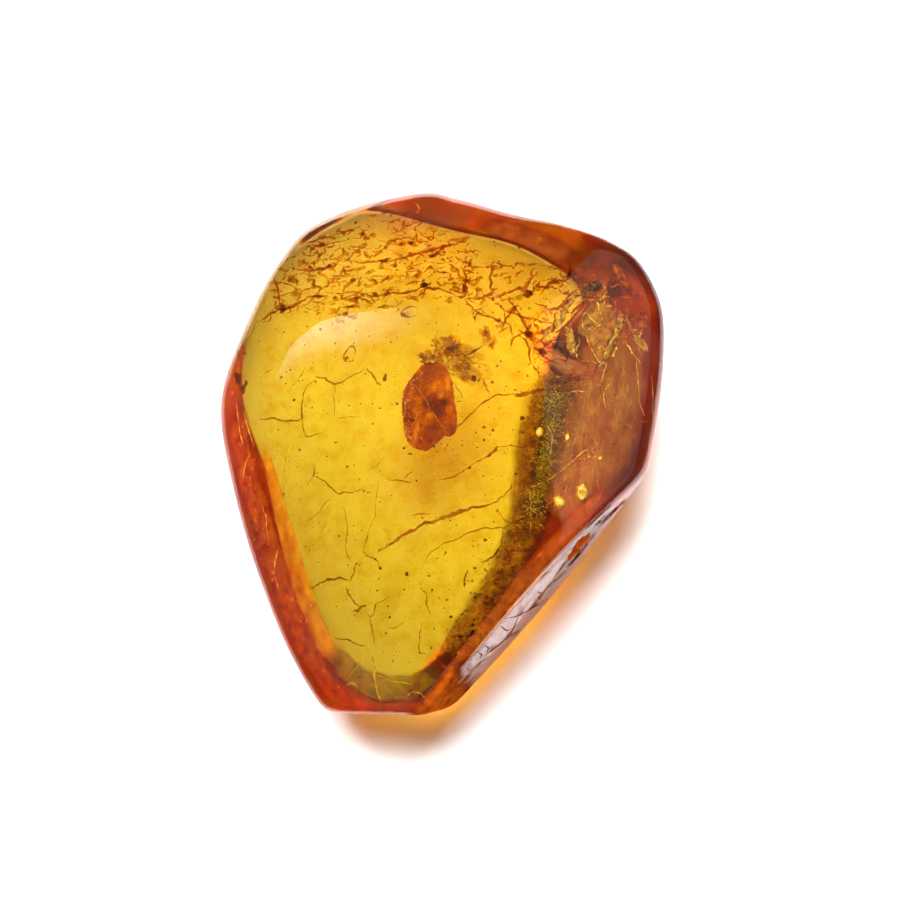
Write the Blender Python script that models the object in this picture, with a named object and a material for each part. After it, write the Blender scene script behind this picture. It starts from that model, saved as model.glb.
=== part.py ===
"""A tumbled and part-polished piece of amber, lying on its flat underside.

The stone is one solid.  Its form is worked out the way a lapidary would describe it: a low
dome over a girdle outline, a smaller outline on the base that the under-bevels run down to,
and the faces worn or ground across the back, the right, the side and the narrow end.  Every
edge between two faces is rounded over.  The insect is sealed in the stone with no hollow
round it, so it has no solid of its own.

Run with: blender --background --python part.py
Frame: metres, +Z up, origin at the centre of the base.  -Y is the narrow, cut-off end.
"""

import math

import bmesh
import bpy
import numpy as np

# Driving dimensions, in millimetres.  The outlines run anticlockwise from the stone's +X side.
GIRDLE_HEIGHT = 6.0
GIRDLE_OUTLINE = (
    (15.1, 1.5), (16.0, 6.3), (15.6, 10.6), (12.3, 13.8), (8.4, 15.4), (4.6, 16.9),
    (1.3, 18.6), (-1.4, 19.8), (-6.1, 19.2), (-10.0, 17.1), (-12.0, 14.0), (-14.1, 9.6),
    (-16.0, 4.9), (-16.2, 1.9), (-15.3, -2.0), (-13.2, -9.4), (-10.8, -16.4), (-7.6, -21.7),
    (-3.4, -23.3), (4.5, -24.2), (11.6, -15.8), (13.4, -4.8),
)
BASE_OUTLINE = (
    (5.0, 0.0), (5.7, 5.6), (6.9, 9.6), (8.6, 12.4), (7.0, 14.6), (1.2, 16.4),
    (-4.0, 18.4), (-7.2, 17.6), (-10.1, 15.2), (-12.5, 10.0), (-12.9, 5.0), (-11.0, -0.9),
    (-9.2, -7.1), (-7.9, -12.9), (-4.8, -16.4), (-2.8, -16.8), (-0.6, -14.2), (3.0, -9.6),
    (4.9, -4.5),
)
AXIS = (-4.0, 4.0)         # the under-bevels run straight out from the upright line through here
# The dome's top, how far it falls over its reach along X and along Y, and how much the whole of
# it dips towards the narrow end, as a slope.
DOME_TOP = (3.0, 0.0, 12.4)
DOME_REACH = (19.0, 26.0)
DOME_FALL = 6.0
DOME_FLATNESS = 2.4
DOME_DIP = 0.07

# Faces across the stone: a point on each, the way it faces (compass angle from +X and angle
# above the horizon, in degrees), and the rounding along its edges.
FACES = {
    "back_slope": ((-7.5, 7.2, 12.3), 110.0, 64.0, 2.5),
    "right_slope": ((7.5, 4.0, 12.2), -4.0, 60.0, 3.0),
    "side_wall": ((7.4, -10.8, 9.0), -41.5, 2.0, 0.8),
    "end_cut": ((-3.5, -20.8, 8.0), -90.0, -22.0, 0.8),
}
GIRDLE_ROUNDING = 1.4
BASE_ROUNDING = 0.5

# The middle of the finished stone, in the outlines' own coordinates.
MIDDLE = (0.1, -0.23)
MM = 0.001                 # one millimetre, in the frame's metres

# The mesh: a ball shrunk onto the stone along rays from a point inside it, then thinned out
# where the stone is flat.
SUBDIVISIONS = 7
TRIANGLES_KEPT = 0.09
INSIDE = (-1.0, 0.0, 5.5)
BALL_REACH = (18.0, 22.0, 6.5)
FLAT_WITHIN = 0.02         # what comes this near the resting plane is laid on it


def outline_radius(outline, angle):
    """How far a smooth closed curve through the outline's points lies from the axis."""
    points = np.array(outline) - AXIS
    before, here, ahead, beyond = (np.roll(points, -k, axis=0)[:, None] for k in (-1, 0, 1, 2))
    t = np.linspace(0, 1, 40, endpoint=False)[:, None]
    bend = 2 * before - 5 * here + 4 * ahead - beyond + t * (3 * (here - ahead) + beyond - before)
    x, y = (here + t / 2 * (ahead - before + t * bend)).reshape(-1, 2).T
    turn = np.arctan2(y, x)
    order = np.argsort(turn)
    return np.interp(angle, turn[order], np.hypot(x, y)[order], period=2 * math.pi)


def smooth_max(a, b, rounding):
    """The larger of a and b, rounded over where the two are within `rounding` of each other."""
    overlap = np.clip(1 - np.abs(a - b) / rounding, 0, 1)
    return np.maximum(a, b) + rounding * overlap ** 3 / 6


def facing(compass, above):
    """The unit vector at a compass angle from +X and an angle above the horizon."""
    compass, above = math.radians(compass), math.radians(above)
    level = math.cos(above)
    return np.array((math.cos(compass) * level, math.sin(compass) * level, math.sin(above)))


def under_bevel(x, y, z):
    """Distance outside the ruled surface from the base's edge out and up to the girdle."""
    x, y = x - AXIS[0], y - AXIS[1]
    reach, angle, step = np.hypot(x, y), np.arctan2(y, x), 0.01
    girdle, base = outline_radius(GIRDLE_OUTLINE, angle), outline_radius(BASE_OUTLINE, angle)
    ahead, behind = (outline_radius(GIRDLE_OUTLINE, angle + turn) for turn in (step, -step))
    slant = np.hypot(1, (ahead - behind) / (2 * step) / girdle)
    rise = np.hypot(girdle - base, GIRDLE_HEIGHT)
    return ((reach - base) * GIRDLE_HEIGHT - z * (girdle - base)) / (rise * slant)


def dome(x, y, z):
    """Distance outside the dome."""
    across, along = (x - DOME_TOP[0]) / DOME_REACH[0], (y - DOME_TOP[1]) / DOME_REACH[1]
    out = np.hypot(across, along)
    height = DOME_TOP[2] + DOME_DIP * y - DOME_FALL * out ** DOME_FLATNESS
    steepness = DOME_FALL * DOME_FLATNESS * out ** (DOME_FLATNESS - 1) / DOME_REACH[0]
    return (z - height) / np.hypot(1, steepness)


def outside(points):
    """How far each point lies outside the stone (negative inside)."""
    x, y, z = points.T
    distance = smooth_max(under_bevel(x, y, z), dome(x, y, z), GIRDLE_ROUNDING)
    for point, compass, above, rounding in FACES.values():
        distance = smooth_max(distance, (points - point) @ facing(compass, above), rounding)
    return smooth_max(distance, -z, BASE_ROUNDING)


def shrink_onto_stone(directions):
    """Where the rays from INSIDE along the directions leave the stone, found by halving."""
    near, far = np.zeros(len(directions)), np.full(len(directions), 2.0)
    for _ in range(40):
        half = (near + far) / 2
        within = outside(INSIDE + directions * half[:, None]) < 0
        near, far = np.where(within, half, near), np.where(within, far, half)
    points = INSIDE + directions * near[:, None]
    points[:, 2] = np.where(points[:, 2] < FLAT_WITHIN, 0, points[:, 2])
    return points


def amber_material():
    """Clear honey-yellow amber with a tumbled polish."""
    material = bpy.data.materials.new("amber")
    material.use_nodes = True
    shader = material.node_tree.nodes["Principled BSDF"]
    shader.inputs["Base Color"].default_value = (0.78, 0.42, 0.03, 1)
    shader.inputs["Metallic"].default_value = 0
    shader.inputs["Roughness"].default_value = 0.05
    shader.inputs["IOR"].default_value = 1.54
    shader.inputs["Transmission Weight"].default_value = 1
    return material


def build_stone():
    ball = bmesh.new()
    bmesh.ops.create_icosphere(ball, subdivisions=SUBDIVISIONS, radius=1)
    directions = np.array([vertex.co for vertex in ball.verts]) * BALL_REACH
    points = (shrink_onto_stone(directions) - (*MIDDLE, 0)) * MM
    for vertex, point in zip(ball.verts, points):
        vertex.co = point
    mesh = bpy.data.meshes.new("amber")
    ball.to_mesh(mesh)
    ball.free()
    mesh.shade_smooth()
    mesh.materials.append(amber_material())
    stone = bpy.data.objects.new("amber", mesh)
    bpy.context.scene.collection.objects.link(stone)
    thin_out = stone.modifiers.new("thin out", "DECIMATE")
    thin_out.ratio = TRIANGLES_KEPT
    return stone


def main():
    for old in list(bpy.data.objects):
        bpy.data.objects.remove(old)
    build_stone()


if __name__ == "__main__":
    main()
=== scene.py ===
"""Looks of a tumbled piece of amber with an insect sealed in it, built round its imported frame.

The visible stone repeats the form of the solid at a fine grain, and everything sealed in it
(the insect, what clings to it, debris, bubbles and the cracks that age has opened) is mesh.
Frame: metres, +Z up, origin at the centre of the base.  -Y is the narrow, cut-off end.
"""

import math
import random

import bmesh
import bpy
import numpy as np
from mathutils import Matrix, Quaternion, Vector, noise
from mathutils.bvhtree import BVHTree
from mathutils.geometry import delaunay_2d_cdt


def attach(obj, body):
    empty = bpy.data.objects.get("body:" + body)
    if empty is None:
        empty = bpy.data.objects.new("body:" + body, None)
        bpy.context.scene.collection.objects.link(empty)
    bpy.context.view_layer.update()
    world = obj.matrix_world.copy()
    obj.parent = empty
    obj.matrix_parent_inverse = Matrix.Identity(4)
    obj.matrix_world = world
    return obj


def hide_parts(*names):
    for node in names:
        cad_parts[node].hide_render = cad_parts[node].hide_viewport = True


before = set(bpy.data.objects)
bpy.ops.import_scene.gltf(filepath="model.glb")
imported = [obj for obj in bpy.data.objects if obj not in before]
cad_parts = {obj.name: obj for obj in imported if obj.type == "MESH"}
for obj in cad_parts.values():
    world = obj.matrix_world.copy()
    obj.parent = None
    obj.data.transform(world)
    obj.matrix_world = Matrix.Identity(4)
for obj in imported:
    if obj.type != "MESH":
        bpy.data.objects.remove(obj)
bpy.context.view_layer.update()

bl_info = {
    "name": "Insect in amber",
    "version": (1, 0, 0),
    "blender": (4, 5, 0),
    "location": "3D Viewport > Sidebar > Amber",
    "description": "Builds the visible amber, what is sealed in it, and its stage",
    "category": "Object",
}

MM = 0.001                 # one millimetre, in the frame's metres
BODY = "root"              # everything rides on the one body

# ---------------------------------------------------------------------------------------------
# The stone's form, the same as the solid's, in millimetres: a low dome over the girdle outline,
# under-bevels down to the base outline, and faces worn across it.
# ---------------------------------------------------------------------------------------------
GIRDLE_HEIGHT = 6.0
GIRDLE_OUTLINE = (
    (15.1, 1.5), (16.0, 6.3), (15.6, 10.6), (12.3, 13.8), (8.4, 15.4), (4.6, 16.9),
    (1.3, 18.6), (-1.4, 19.8), (-6.1, 19.2), (-10.0, 17.1), (-12.0, 14.0), (-14.1, 9.6),
    (-16.0, 4.9), (-16.2, 1.9), (-15.3, -2.0), (-13.2, -9.4), (-10.8, -16.4), (-7.6, -21.7),
    (-3.4, -23.3), (4.5, -24.2), (11.6, -15.8), (13.4, -4.8),
)
BASE_OUTLINE = (
    (5.0, 0.0), (5.7, 5.6), (6.9, 9.6), (8.6, 12.4), (7.0, 14.6), (1.2, 16.4),
    (-4.0, 18.4), (-7.2, 17.6), (-10.1, 15.2), (-12.5, 10.0), (-12.9, 5.0), (-11.0, -0.9),
    (-9.2, -7.1), (-7.9, -12.9), (-4.8, -16.4), (-2.8, -16.8), (-0.6, -14.2), (3.0, -9.6),
    (4.9, -4.5),
)
AXIS = (-4.0, 4.0)
DOME_TOP = (3.0, 0.0, 12.4)
DOME_REACH = (19.0, 26.0)
DOME_FALL = 6.0
DOME_FLATNESS = 2.4
DOME_DIP = 0.07
FACES = {
    "back_slope": ((-7.5, 7.2, 12.3), 110.0, 64.0, 2.5),
    "right_slope": ((7.5, 4.0, 12.2), -4.0, 60.0, 3.0),
    "side_wall": ((7.4, -10.8, 9.0), -41.5, 2.0, 0.8),
    "end_cut": ((-3.5, -20.8, 8.0), -90.0, -22.0, 0.8),
}
GIRDLE_ROUNDING = 1.4
BASE_ROUNDING = 0.5
MIDDLE = (0.1, -0.23)
INSIDE = (-1.0, 0.0, 5.5)
FLAT_WITHIN = 0.02

# The visible mesh: rings of points round the axis, closest where the edges are.
BASE_RINGS = 26
BEVEL_RINGS = 34
DOME_RINGS = 70
RIND_OVER_DOME = 30        # rings of the dome that the weathered rind reaches over
LONG_WAVE, SHORT_WAVE = 5, 1.6   # mm, how far apart the unevenness of hand polishing is
THREAD_SIDES = 4           # of a crack or a thread

# The camera looks down on the stone from its narrow end.
CAMERA_ELEVATION = 70.0    # degrees above the horizon
CAMERA_TARGET = (0.52, 0.435, 5.07)   # mm
CAMERA_LENS = 150.0        # mm, on a 36 mm sensor
SENSOR = 36.0

# Where the inclusions lie is laid out on a plan: 900 units square, as the stone lies before the
# camera.  A plan point and a depth along the line of sight give a place in the stone.
PLAN_SIDE = 900
PLAN_UNIT = 0.0728         # mm
AMBER_IOR = 1.54

# Cracks: a width, a depth and a blade height in mm, and the plan points that the crack runs by.
CRACKS = (
    (0.11, 3.6, 0.5, ((448, 437), (470, 415), (491, 397), (507, 395), (523, 394))),
    (0.08, 3.4, 0.3, ((491, 397), (487, 388), (483, 378))),
    (0.34, 3.4, 0.5, ((514, 396), (530, 393), (545, 388))),
    (0.24, 2.8, 0.8, ((377, 553), (395, 541), (414, 529), (437, 520), (461, 511), (478, 507), (493, 504))),
    (0.10, 2.8, 0.4, ((488, 505), (497, 501), (506, 493), (513, 483))),
    (0.09, 2.6, 0.4, ((422, 570), (430, 553), (445, 544), (471, 532), (490, 528), (503, 528), (511, 523))),
    (0.08, 2.6, 0.3, ((509, 524), (522, 519), (533, 516), (546, 507))),
    (0.07, 2.4, 0.3, ((497, 508), (503, 518), (511, 523))),
    (0.09, 2.5, 0.4, ((503, 528), (501, 545), (493, 556), (481, 563))),
    (0.09, 2.5, 0.3, ((501, 545), (507, 551), (511, 560))),
    (0.16, 3.5, 0.2, ((467, 570), (465, 579), (464, 588))),
    (0.14, 2.2, 0.4, ((420, 586), (426, 597), (430, 617))),
    (0.10, 3.2, 0.4, ((257, 420), (275, 419), (296, 421), (303, 417))),
    (0.09, 3.2, 0.4, ((324, 433), (306, 435), (302, 418), (302, 402), (306, 388), (316, 378))),
    (0.11, 3.0, 0.4, ((314, 377), (325, 379), (336, 384), (350, 377), (366, 367))),
    (0.05, 3.0, 0.2, ((335, 384), (334, 400), (335, 417))),
    (0.08, 2.4, 0.2, ((337, 418), (347, 417), (358, 417))),
    (0.11, 2.6, 0.4, ((313, 476), (325, 482), (338, 493), (351, 492), (364, 489))),
    (0.08, 2.6, 0.3, ((315, 462), (313, 476), (307, 485))),
    (0.07, 2.6, 0.3, ((305, 523), (318, 513), (325, 503), (333, 495))),
    (0.15, 2.2, 0.5, ((309, 591), (317, 585), (328, 580), (340, 578), (350, 582))),
    (0.10, 2.2, 0.4, ((349, 583), (354, 571), (358, 560))),
    (0.11, 2.2, 0.4, ((345, 586), (350, 596), (359, 608))),
    (0.18, 2.2, 0.2, ((352, 612), (359, 609), (367, 604))),
    (0.07, 2.4, 0.3, ((333, 638), (350, 641), (368, 648))),
    (0.08, 3.2, 0.3, ((436, 481), (455, 476), (475, 463), (486, 457))),
    (0.20, 3.2, 0.3, ((482, 460), (492, 453), (498, 446))),
    (0.06, 3.2, 0.3, ((496, 447), (513, 446), (523, 447), (543, 443))),
    (0.09, 3.0, 0.3, ((386, 479), (402, 481), (413, 483))),
    (0.07, 3.0, 0.2, ((404, 478), (409, 474), (414, 471))),
    (0.09, 3.4, 0.2, ((411, 516), (419, 514), (431, 514))),
    (0.05, 3.6, 0.2, ((369, 471), (378, 464), (386, 455))),
    (0.08, 2.6, 0.3, ((362, 552), (368, 556), (377, 561), (381, 570))),
    (0.06, 3.6, 0.5, ((379, 480), (377, 493), (374, 516), (366, 541), (363, 554))),
    (0.06, 3.6, 0.5, ((343, 506), (347, 523), (346, 549), (351, 562))),
    (0.08, 2.4, 0.3, ((422, 621), (420, 637), (419, 652), (426, 653))),
    (0.06, 2.8, 0.2, ((386, 629), (396, 627), (406, 621))),
    (0.08, 2.6, 0.3, ((369, 615), (372, 629), (375, 645))),
    (0.09, 2.6, 0.3, ((366, 613), (372, 616), (377, 604), (390, 596))),
    (0.06, 3.0, 0.2, ((262, 375), (269, 371), (276, 366))),
    (0.06, 3.0, 0.2, ((296, 382), (302, 374), (305, 367))),
    (0.15, 3.4, 0.2, ((367, 368), (374, 377), (380, 387))),
    (0.13, 2.0, 0.4, ((531, 484), (545, 476), (561, 467), (575, 455), (587, 446))),
    (0.10, 2.0, 0.4, ((585, 447), (600, 452), (615, 455), (633, 460))),
    (0.07, 1.6, 0.3, ((480, 563), (488, 560), (492, 556))),
    (0.06, 3.0, 0.2, ((246, 340), (252, 334), (256, 322))),
)
# Rusty veins of the crackle under the broad end, in the same form.
VEINS = (
    (0.22, 1.2, 0.4, ((343, 262), (368, 262), (392, 260), (410, 256), (427, 251), (450, 245), (466, 241))),
    (0.16, 1.2, 0.4, ((286, 268), (303, 270), (319, 270), (332, 266), (343, 260))),
    (0.18, 1.2, 0.4, ((336, 294), (355, 292), (374, 296), (392, 293), (407, 293), (420, 288), (432, 282))),
    (0.20, 1.2, 0.4, ((258, 323), (266, 317), (275, 311), (286, 309), (300, 302), (313, 296), (330, 297))),
    (0.16, 1.0, 0.4, ((272, 276), (278, 290), (280, 303), (284, 312))),
    (0.18, 1.4, 0.4, ((461, 266), (466, 276), (465, 288), (465, 296))),
    (0.22, 1.4, 0.4, ((465, 299), (480, 298), (491, 293), (497, 288))),
    (0.15, 1.4, 0.4, ((464, 299), (476, 311), (492, 318), (508, 324))),
    (0.12, 1.4, 0.3, ((480, 311), (476, 316), (474, 320))),
    (0.14, 1.4, 0.3, ((500, 330), (507, 318), (513, 309), (520, 305))),
    (0.22, 1.4, 0.4, ((506, 296), (512, 303), (517, 311), (526, 326), (534, 340))),
    (0.30, 1.6, 0.4, ((495, 298), (507, 293), (519, 289), (533, 294))),
    (0.15, 1.2, 0.4, ((534, 303), (545, 307), (556, 309), (563, 303), (570, 295), (579, 287))),
    (0.12, 1.2, 0.4, ((539, 296), (548, 285), (558, 281), (568, 279), (570, 268), (569, 262))),
    (0.12, 1.2, 0.3, ((528, 287), (531, 276), (535, 266))),
    (0.10, 1.2, 0.3, ((514, 276), (519, 273), (525, 270))),
    (0.20, 1.0, 0.3, ((566, 276), (572, 274), (577, 273))),
    (0.12, 1.3, 0.3, ((455, 251), (463, 252), (472, 251), (482, 252))),
    (0.22, 1.3, 0.4, ((428, 258), (436, 254), (444, 247), (455, 243))),
    (0.14, 1.3, 0.4, ((392, 226), (399, 232), (404, 226), (414, 224), (424, 220))),
    (0.14, 1.3, 0.4, ((340, 300), (348, 297), (356, 295), (364, 300), (376, 301))),
    (0.16, 1.3, 0.4, ((418, 297), (424, 291), (434, 288), (446, 291), (462, 298))),
    (0.14, 1.3, 0.4, ((352, 265), (350, 258), (356, 251), (366, 247))),
    (0.14, 1.3, 0.4, ((300, 245), (316, 240), (330, 236), (346, 232), (362, 226))),
    (0.12, 1.3, 0.4, ((310, 258), (311, 250), (318, 246), (333, 243), (348, 240))),
    (0.12, 1.3, 0.4, ((370, 252), (382, 250), (388, 243), (404, 238), (418, 239))),
    (0.12, 1.3, 0.4, ((414, 226), (424, 236), (432, 240), (434, 232), (440, 226))),
    (0.14, 1.6, 0.4, ((519, 334), (527, 343), (530, 356), (527, 368))),
    (0.12, 1.6, 0.4, ((529, 345), (539, 352), (548, 360), (557, 362))),
    (0.10, 1.6, 0.3, ((519, 333), (512, 341), (510, 350))),
    (0.22, 1.4, 0.4, ((517, 330), (528, 334), (541, 332), (552, 326))),
    (0.14, 1.4, 0.4, ((540, 352), (545, 345), (555, 340), (567, 338))),
    (0.12, 1.6, 0.3, ((529, 362), (536, 369), (540, 379))),
    (0.12, 1.4, 0.3, ((548, 360), (552, 370), (562, 376), (575, 375))),
    (0.10, 1.4, 0.3, ((556, 344), (566, 352), (578, 356), (590, 366))),
)

# Where the crackle and the specks lie.
CRACKLE_FINE = (
    (262, 300), (286, 256), (330, 232), (380, 210), (425, 216), (470, 236), (486, 262), (478, 300),
    (430, 306), (380, 312), (340, 322), (300, 312), (262, 326),
)
CRACKLE_COARSE = (
    (478, 262), (520, 262), (560, 262), (604, 272), (596, 306), (560, 340), (530, 356), (500, 330),
    (470, 314),
)
CRACKLE_RUSTY = (
    (520, 322), (548, 306), (572, 312), (588, 344), (604, 364), (606, 388), (580, 394), (556, 388),
    (536, 372), (524, 350),
)
CRACKLE_LIT = (
    (566, 290), (590, 276), (616, 262), (640, 286), (652, 320), (652, 360), (630, 372), (608, 384),
    (586, 372), (566, 350),
)
CRACKLE_SLOPE = (
    (585, 372), (610, 384), (640, 366), (652, 400), (650, 450), (630, 484), (600, 512), (566, 536),
    (548, 520), (556, 480), (574, 440), (580, 400),
)
# The nets of fine cracks: how far apart the cracks are in plan units, how far the net is drawn out,
# the share of its cracks that are kept, and their widths and depths in mm.
CRACKLE_NETS = {
    "crackle_fine": (CRACKLE_FINE, 10.5, 1.9, 0.6, (0.05, 0.19), (0.5, 1.6)),
    "crackle_coarse": (CRACKLE_COARSE, 17.0, 1.2, 0.6, (0.06, 0.22), (0.8, 2.0)),
    "crackle_rusty": (CRACKLE_RUSTY, 9.0, 1.1, 0.75, (0.06, 0.20), (1.2, 2.4)),
    "crackle_lit": (CRACKLE_LIT, 9.0, 0.8, 0.62, (0.04, 0.13), (1.0, 1.8)),
    "crackle_slope": (CRACKLE_SLOPE, 14.0, 0.7, 0.5, (0.02, 0.06), (0.8, 1.6)),
}
CRACKLE_MARGIN = (20, 15)  # how far past its outline a net is laid out before it is cut to it
# Where the crackle has brown smears between its lines, and how many are tried.
CRACKLE_SMEARS = ((CRACKLE_FINE, 240), (CRACKLE_COARSE, 80))
# Mossy grains under the slope: plan middle, and reach across and along the plan.
MOSS = (
    ((598, 290), (18, 10)), ((630, 318), (10, 18)), ((552, 400), (16, 12)), ((556, 428), (18, 20)),
    ((546, 462), (14, 16)), ((534, 505), (10, 18)),
)
MOSS_GRAINS = 320          # to a patch
# Where dust is scattered, the span of the plan that it is tried over, and its sizes and depths.
SPECKS_OVER = (
    (235, 380), (262, 300), (310, 240), (385, 206), (480, 232), (600, 268), (640, 300), (645, 440),
    (560, 560), (455, 690), (400, 690), (290, 560),
)
SPECKS_TRIED = ((232, 640), (215, 690))
SPECK_RADII = (0.028, 0.032, 0.036, 0.042, 0.05, 0.06, 0.08)   # mm
SPECK_DEPTHS = (0.6, 7.0)  # mm
VEIL_MIDDLE = (430, 440)
VEIL_DEPTH = 5.0           # mm
# The left rim, by plan points along it, and how many grains glint there.
LEFT_RIM = ((240, 372), (240, 420), (253, 490), (272, 560), (303, 632), (336, 682))
RIM_GLINTS = 100
# Gleaming edges of fractures, their bright gold colour painted gleam for the light they mirror inside the
# amber, in the same form.
GLEAMING_EDGES = (
    (0.12, 2.6, 0.1, ((293, 440), (286, 458), (284, 478), (283, 497))),
    (0.09, 2.6, 0.1, ((291, 577), (306, 556), (320, 534), (331, 516))),
    (0.16, 1.4, 0.1, ((316, 597), (309, 610), (306, 622))),
    (0.14, 1.6, 0.1, ((368, 648), (374, 662), (375, 679), (381, 704))),
    (0.08, 1.8, 0.1, ((366, 653), (356, 668), (347, 679))),
    (0.07, 1.8, 0.1, ((345, 686), (352, 683), (359, 688))),
    (0.09, 1.8, 0.1, ((375, 674), (392, 681), (414, 684))),
    (0.10, 1.6, 0.1, ((405, 700), (412, 692), (421, 694), (426, 703), (417, 712))),
    (0.10, 1.2, 0.1, ((236, 400), (239, 425), (243, 447))),
    (0.10, 1.2, 0.1, ((243, 410), (248, 428), (254, 447))),
    (0.09, 1.2, 0.1, ((250, 452), (245, 466), (243, 480))),
    (0.10, 1.2, 0.1, ((262, 505), (266, 520), (268, 540))),
    (0.08, 1.2, 0.1, ((279, 545), (274, 570), (279, 590))),
    (0.09, 2.0, 0.1, ((529, 490), (531, 512), (530, 536))),
    (0.10, 2.0, 0.1, ((531, 488), (537, 485), (545, 482))),
    (0.09, 2.0, 0.1, ((544, 508), (549, 504), (556, 500))),
    (0.14, 1.6, 0.1, ((546, 481), (561, 471), (575, 459), (587, 449))),
    (0.09, 1.6, 0.1, ((590, 450), (595, 455), (592, 459))),
    (0.10, 1.6, 0.1, ((544, 420), (552, 437), (549, 462))),
    (0.20, 1.4, 0.1, ((566, 321), (561, 310), (566, 301), (577, 294))),
    (0.26, 1.6, 0.1, ((544, 331), (554, 325), (561, 319))),
    (0.14, 1.4, 0.1, ((585, 334), (591, 348), (599, 361), (608, 364))),
    (0.30, 1.2, 0.1, ((620, 311), (623, 322), (614, 337), (604, 356))),
    (0.14, 1.2, 0.1, ((624, 314), (631, 327), (636, 341), (642, 356))),
    (0.13, 1.2, 0.1, ((641, 312), (646, 320), (642, 329), (640, 337), (646, 345), (648, 353))),
    (0.12, 1.2, 0.1, ((632, 330), (638, 333), (643, 329), (641, 323))),
    (0.10, 1.2, 0.1, ((634, 306), (639, 313), (634, 319), (638, 325))),
    (0.30, 1.2, 0.1, ((613, 265), (619, 274), (627, 287), (636, 295))),
    (0.12, 1.4, 0.1, ((603, 283), (606, 292), (600, 301), (609, 296), (617, 306))),
    (0.12, 1.6, 0.1, ((606, 363), (603, 376), (599, 388))),
    (0.11, 1.6, 0.1, ((611, 382), (604, 393), (606, 410))),
    (0.08, 1.0, 0.1, ((636, 357), (638, 380), (640, 403), (646, 418))),
    (0.07, 1.0, 0.1, ((651, 374), (653, 394), (652, 418))),
    (0.08, 1.8, 0.1, ((553, 377), (569, 376), (591, 377))),
    (0.08, 1.8, 0.1, ((549, 393), (557, 394), (561, 392))),
    (0.09, 1.8, 0.1, ((567, 393), (576, 391), (585, 392))),
    (0.10, 1.6, 0.1, ((571, 327), (569, 342), (573, 356))),
    (0.09, 2.0, 0.1, ((535, 560), (541, 553), (547, 551))),
    (0.10, 1.0, 0.1, ((414, 202), (419, 207), (417, 214))),
)
# Round bodies: a radius across the plan, a radius along it and a depth in mm, and a plan point.
BUBBLES = (
    (0.26, 0.30, 2.2, (540, 432)),
    (0.42, 0.42, 1.8, (559, 502)),
    (0.46, 0.62, 1.8, (582, 492)),
    (0.12, 0.12, 1.4, (600, 458)),
    (0.08, 0.08, 1.4, (589, 457)),
    (0.16, 0.24, 1.8, (567, 437)),
    (0.14, 0.10, 1.8, (568, 445)),
    (0.12, 0.12, 2.0, (576, 392)),
    (0.20, 0.22, 1.4, (539, 240)),
)
DARK_GRAINS = (
    (0.15, 0.15, 3.0, (407, 574)), (0.15, 0.11, 3.0, (485, 540)), (0.12, 0.12, 2.6, (493, 430)),
    (0.17, 0.15, 2.6, (522, 418)), (0.10, 0.10, 2.6, (475, 597)), (0.12, 0.09, 2.6, (451, 617)),
    (0.09, 0.09, 2.6, (432, 590)), (0.12, 0.08, 2.6, (429, 576)), (0.09, 0.09, 4.0, (497, 366)),
    (0.16, 0.22, 3.6, (474, 379)), (0.11, 0.11, 3.6, (479, 380)), (0.12, 0.12, 3.6, (492, 382)),
    (0.12, 0.10, 3.4, (484, 427)), (0.09, 0.09, 3.4, (484, 440)), (0.10, 0.10, 3.6, (397, 404)),
    (0.08, 0.08, 3.6, (404, 448)), (0.16, 0.07, 3.6, (410, 454)), (0.15, 0.24, 3.4, (385, 378)),
    (0.24, 0.17, 1.0, (353, 280)), (0.20, 0.16, 1.0, (356, 298)), (0.22, 0.16, 1.0, (432, 256)),
    (0.18, 0.14, 1.0, (375, 294)), (0.14, 0.20, 1.0, (329, 266)), (0.20, 0.16, 1.0, (466, 281)),
    (0.18, 0.14, 1.0, (411, 243)), (0.30, 0.22, 1.0, (424, 285)), (0.22, 0.30, 1.0, (465, 289)),
    (0.26, 0.30, 1.0, (283, 309)), (0.20, 0.18, 1.2, (345, 314)), (0.34, 0.26, 1.2, (528, 294)),
    (0.30, 0.24, 1.6, (529, 334)), (0.26, 0.22, 1.6, (543, 352)), (0.22, 0.26, 1.6, (555, 346)),
    (0.16, 0.14, 1.2, (488, 267)), (0.14, 0.16, 1.2, (570, 274)), (0.30, 0.42, 1.2, (238, 378)),
    (0.24, 0.34, 1.2, (243, 389)), (0.14, 0.20, 1.2, (246, 383)),
)

# The insect, seen from its back with the head towards the broad end: plan points, and its depth.
INSECT_MIDDLE = (430, 408)
INSECT_DEPTH = 4.0         # mm
INSECT_THICKNESS = 1.7
INSECT_OUTLINE = (
    (457, 419), (454.5, 397), (451, 378), (444, 365), (433, 362), (421, 366), (410, 380),
    (403.5, 391), (402, 406), (403, 421), (406, 437), (412, 447), (424, 451), (429, 450), (441, 439.5),
    (445, 436), (451, 436.5), (456, 431),
)
# Where its skin is dark and where it is pale: a plan point, and a reach across and along the plan.
INSECT_DARK = (
    ((434, 404), (5.5, 9)), ((426, 404), (3.5, 5)), ((444, 402), (4.5, 4.5)), ((440, 413), (5, 6)),
    ((430, 370), (8, 7)), ((435, 428), (10, 8)), ((440, 372), (5, 4)), ((418, 392), (4, 6)),
    ((405, 402), (4, 9)), ((406, 421), (4, 6)), ((428, 440), (7, 6)), ((452, 428), (4, 6)),
    ((413, 382), (6, 8)), ((426, 378), (6, 8)), ((410, 412), (4, 9)), ((424, 392), (5, 6)),
)
INSECT_PALE = (
    ((434.5, 387), (2.2, 3.2)), ((438, 383), (2.5, 1.6)), ((430, 415), (4, 3)), ((415, 434), (2.4, 7)),
    ((418, 428), (2, 4)), ((410, 446), (4, 3)), ((441, 396), (3, 3)), ((448, 384), (2.4, 8)),
)
ORGANS = 4                 # the first so many of the dark places are also dark inside
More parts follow.
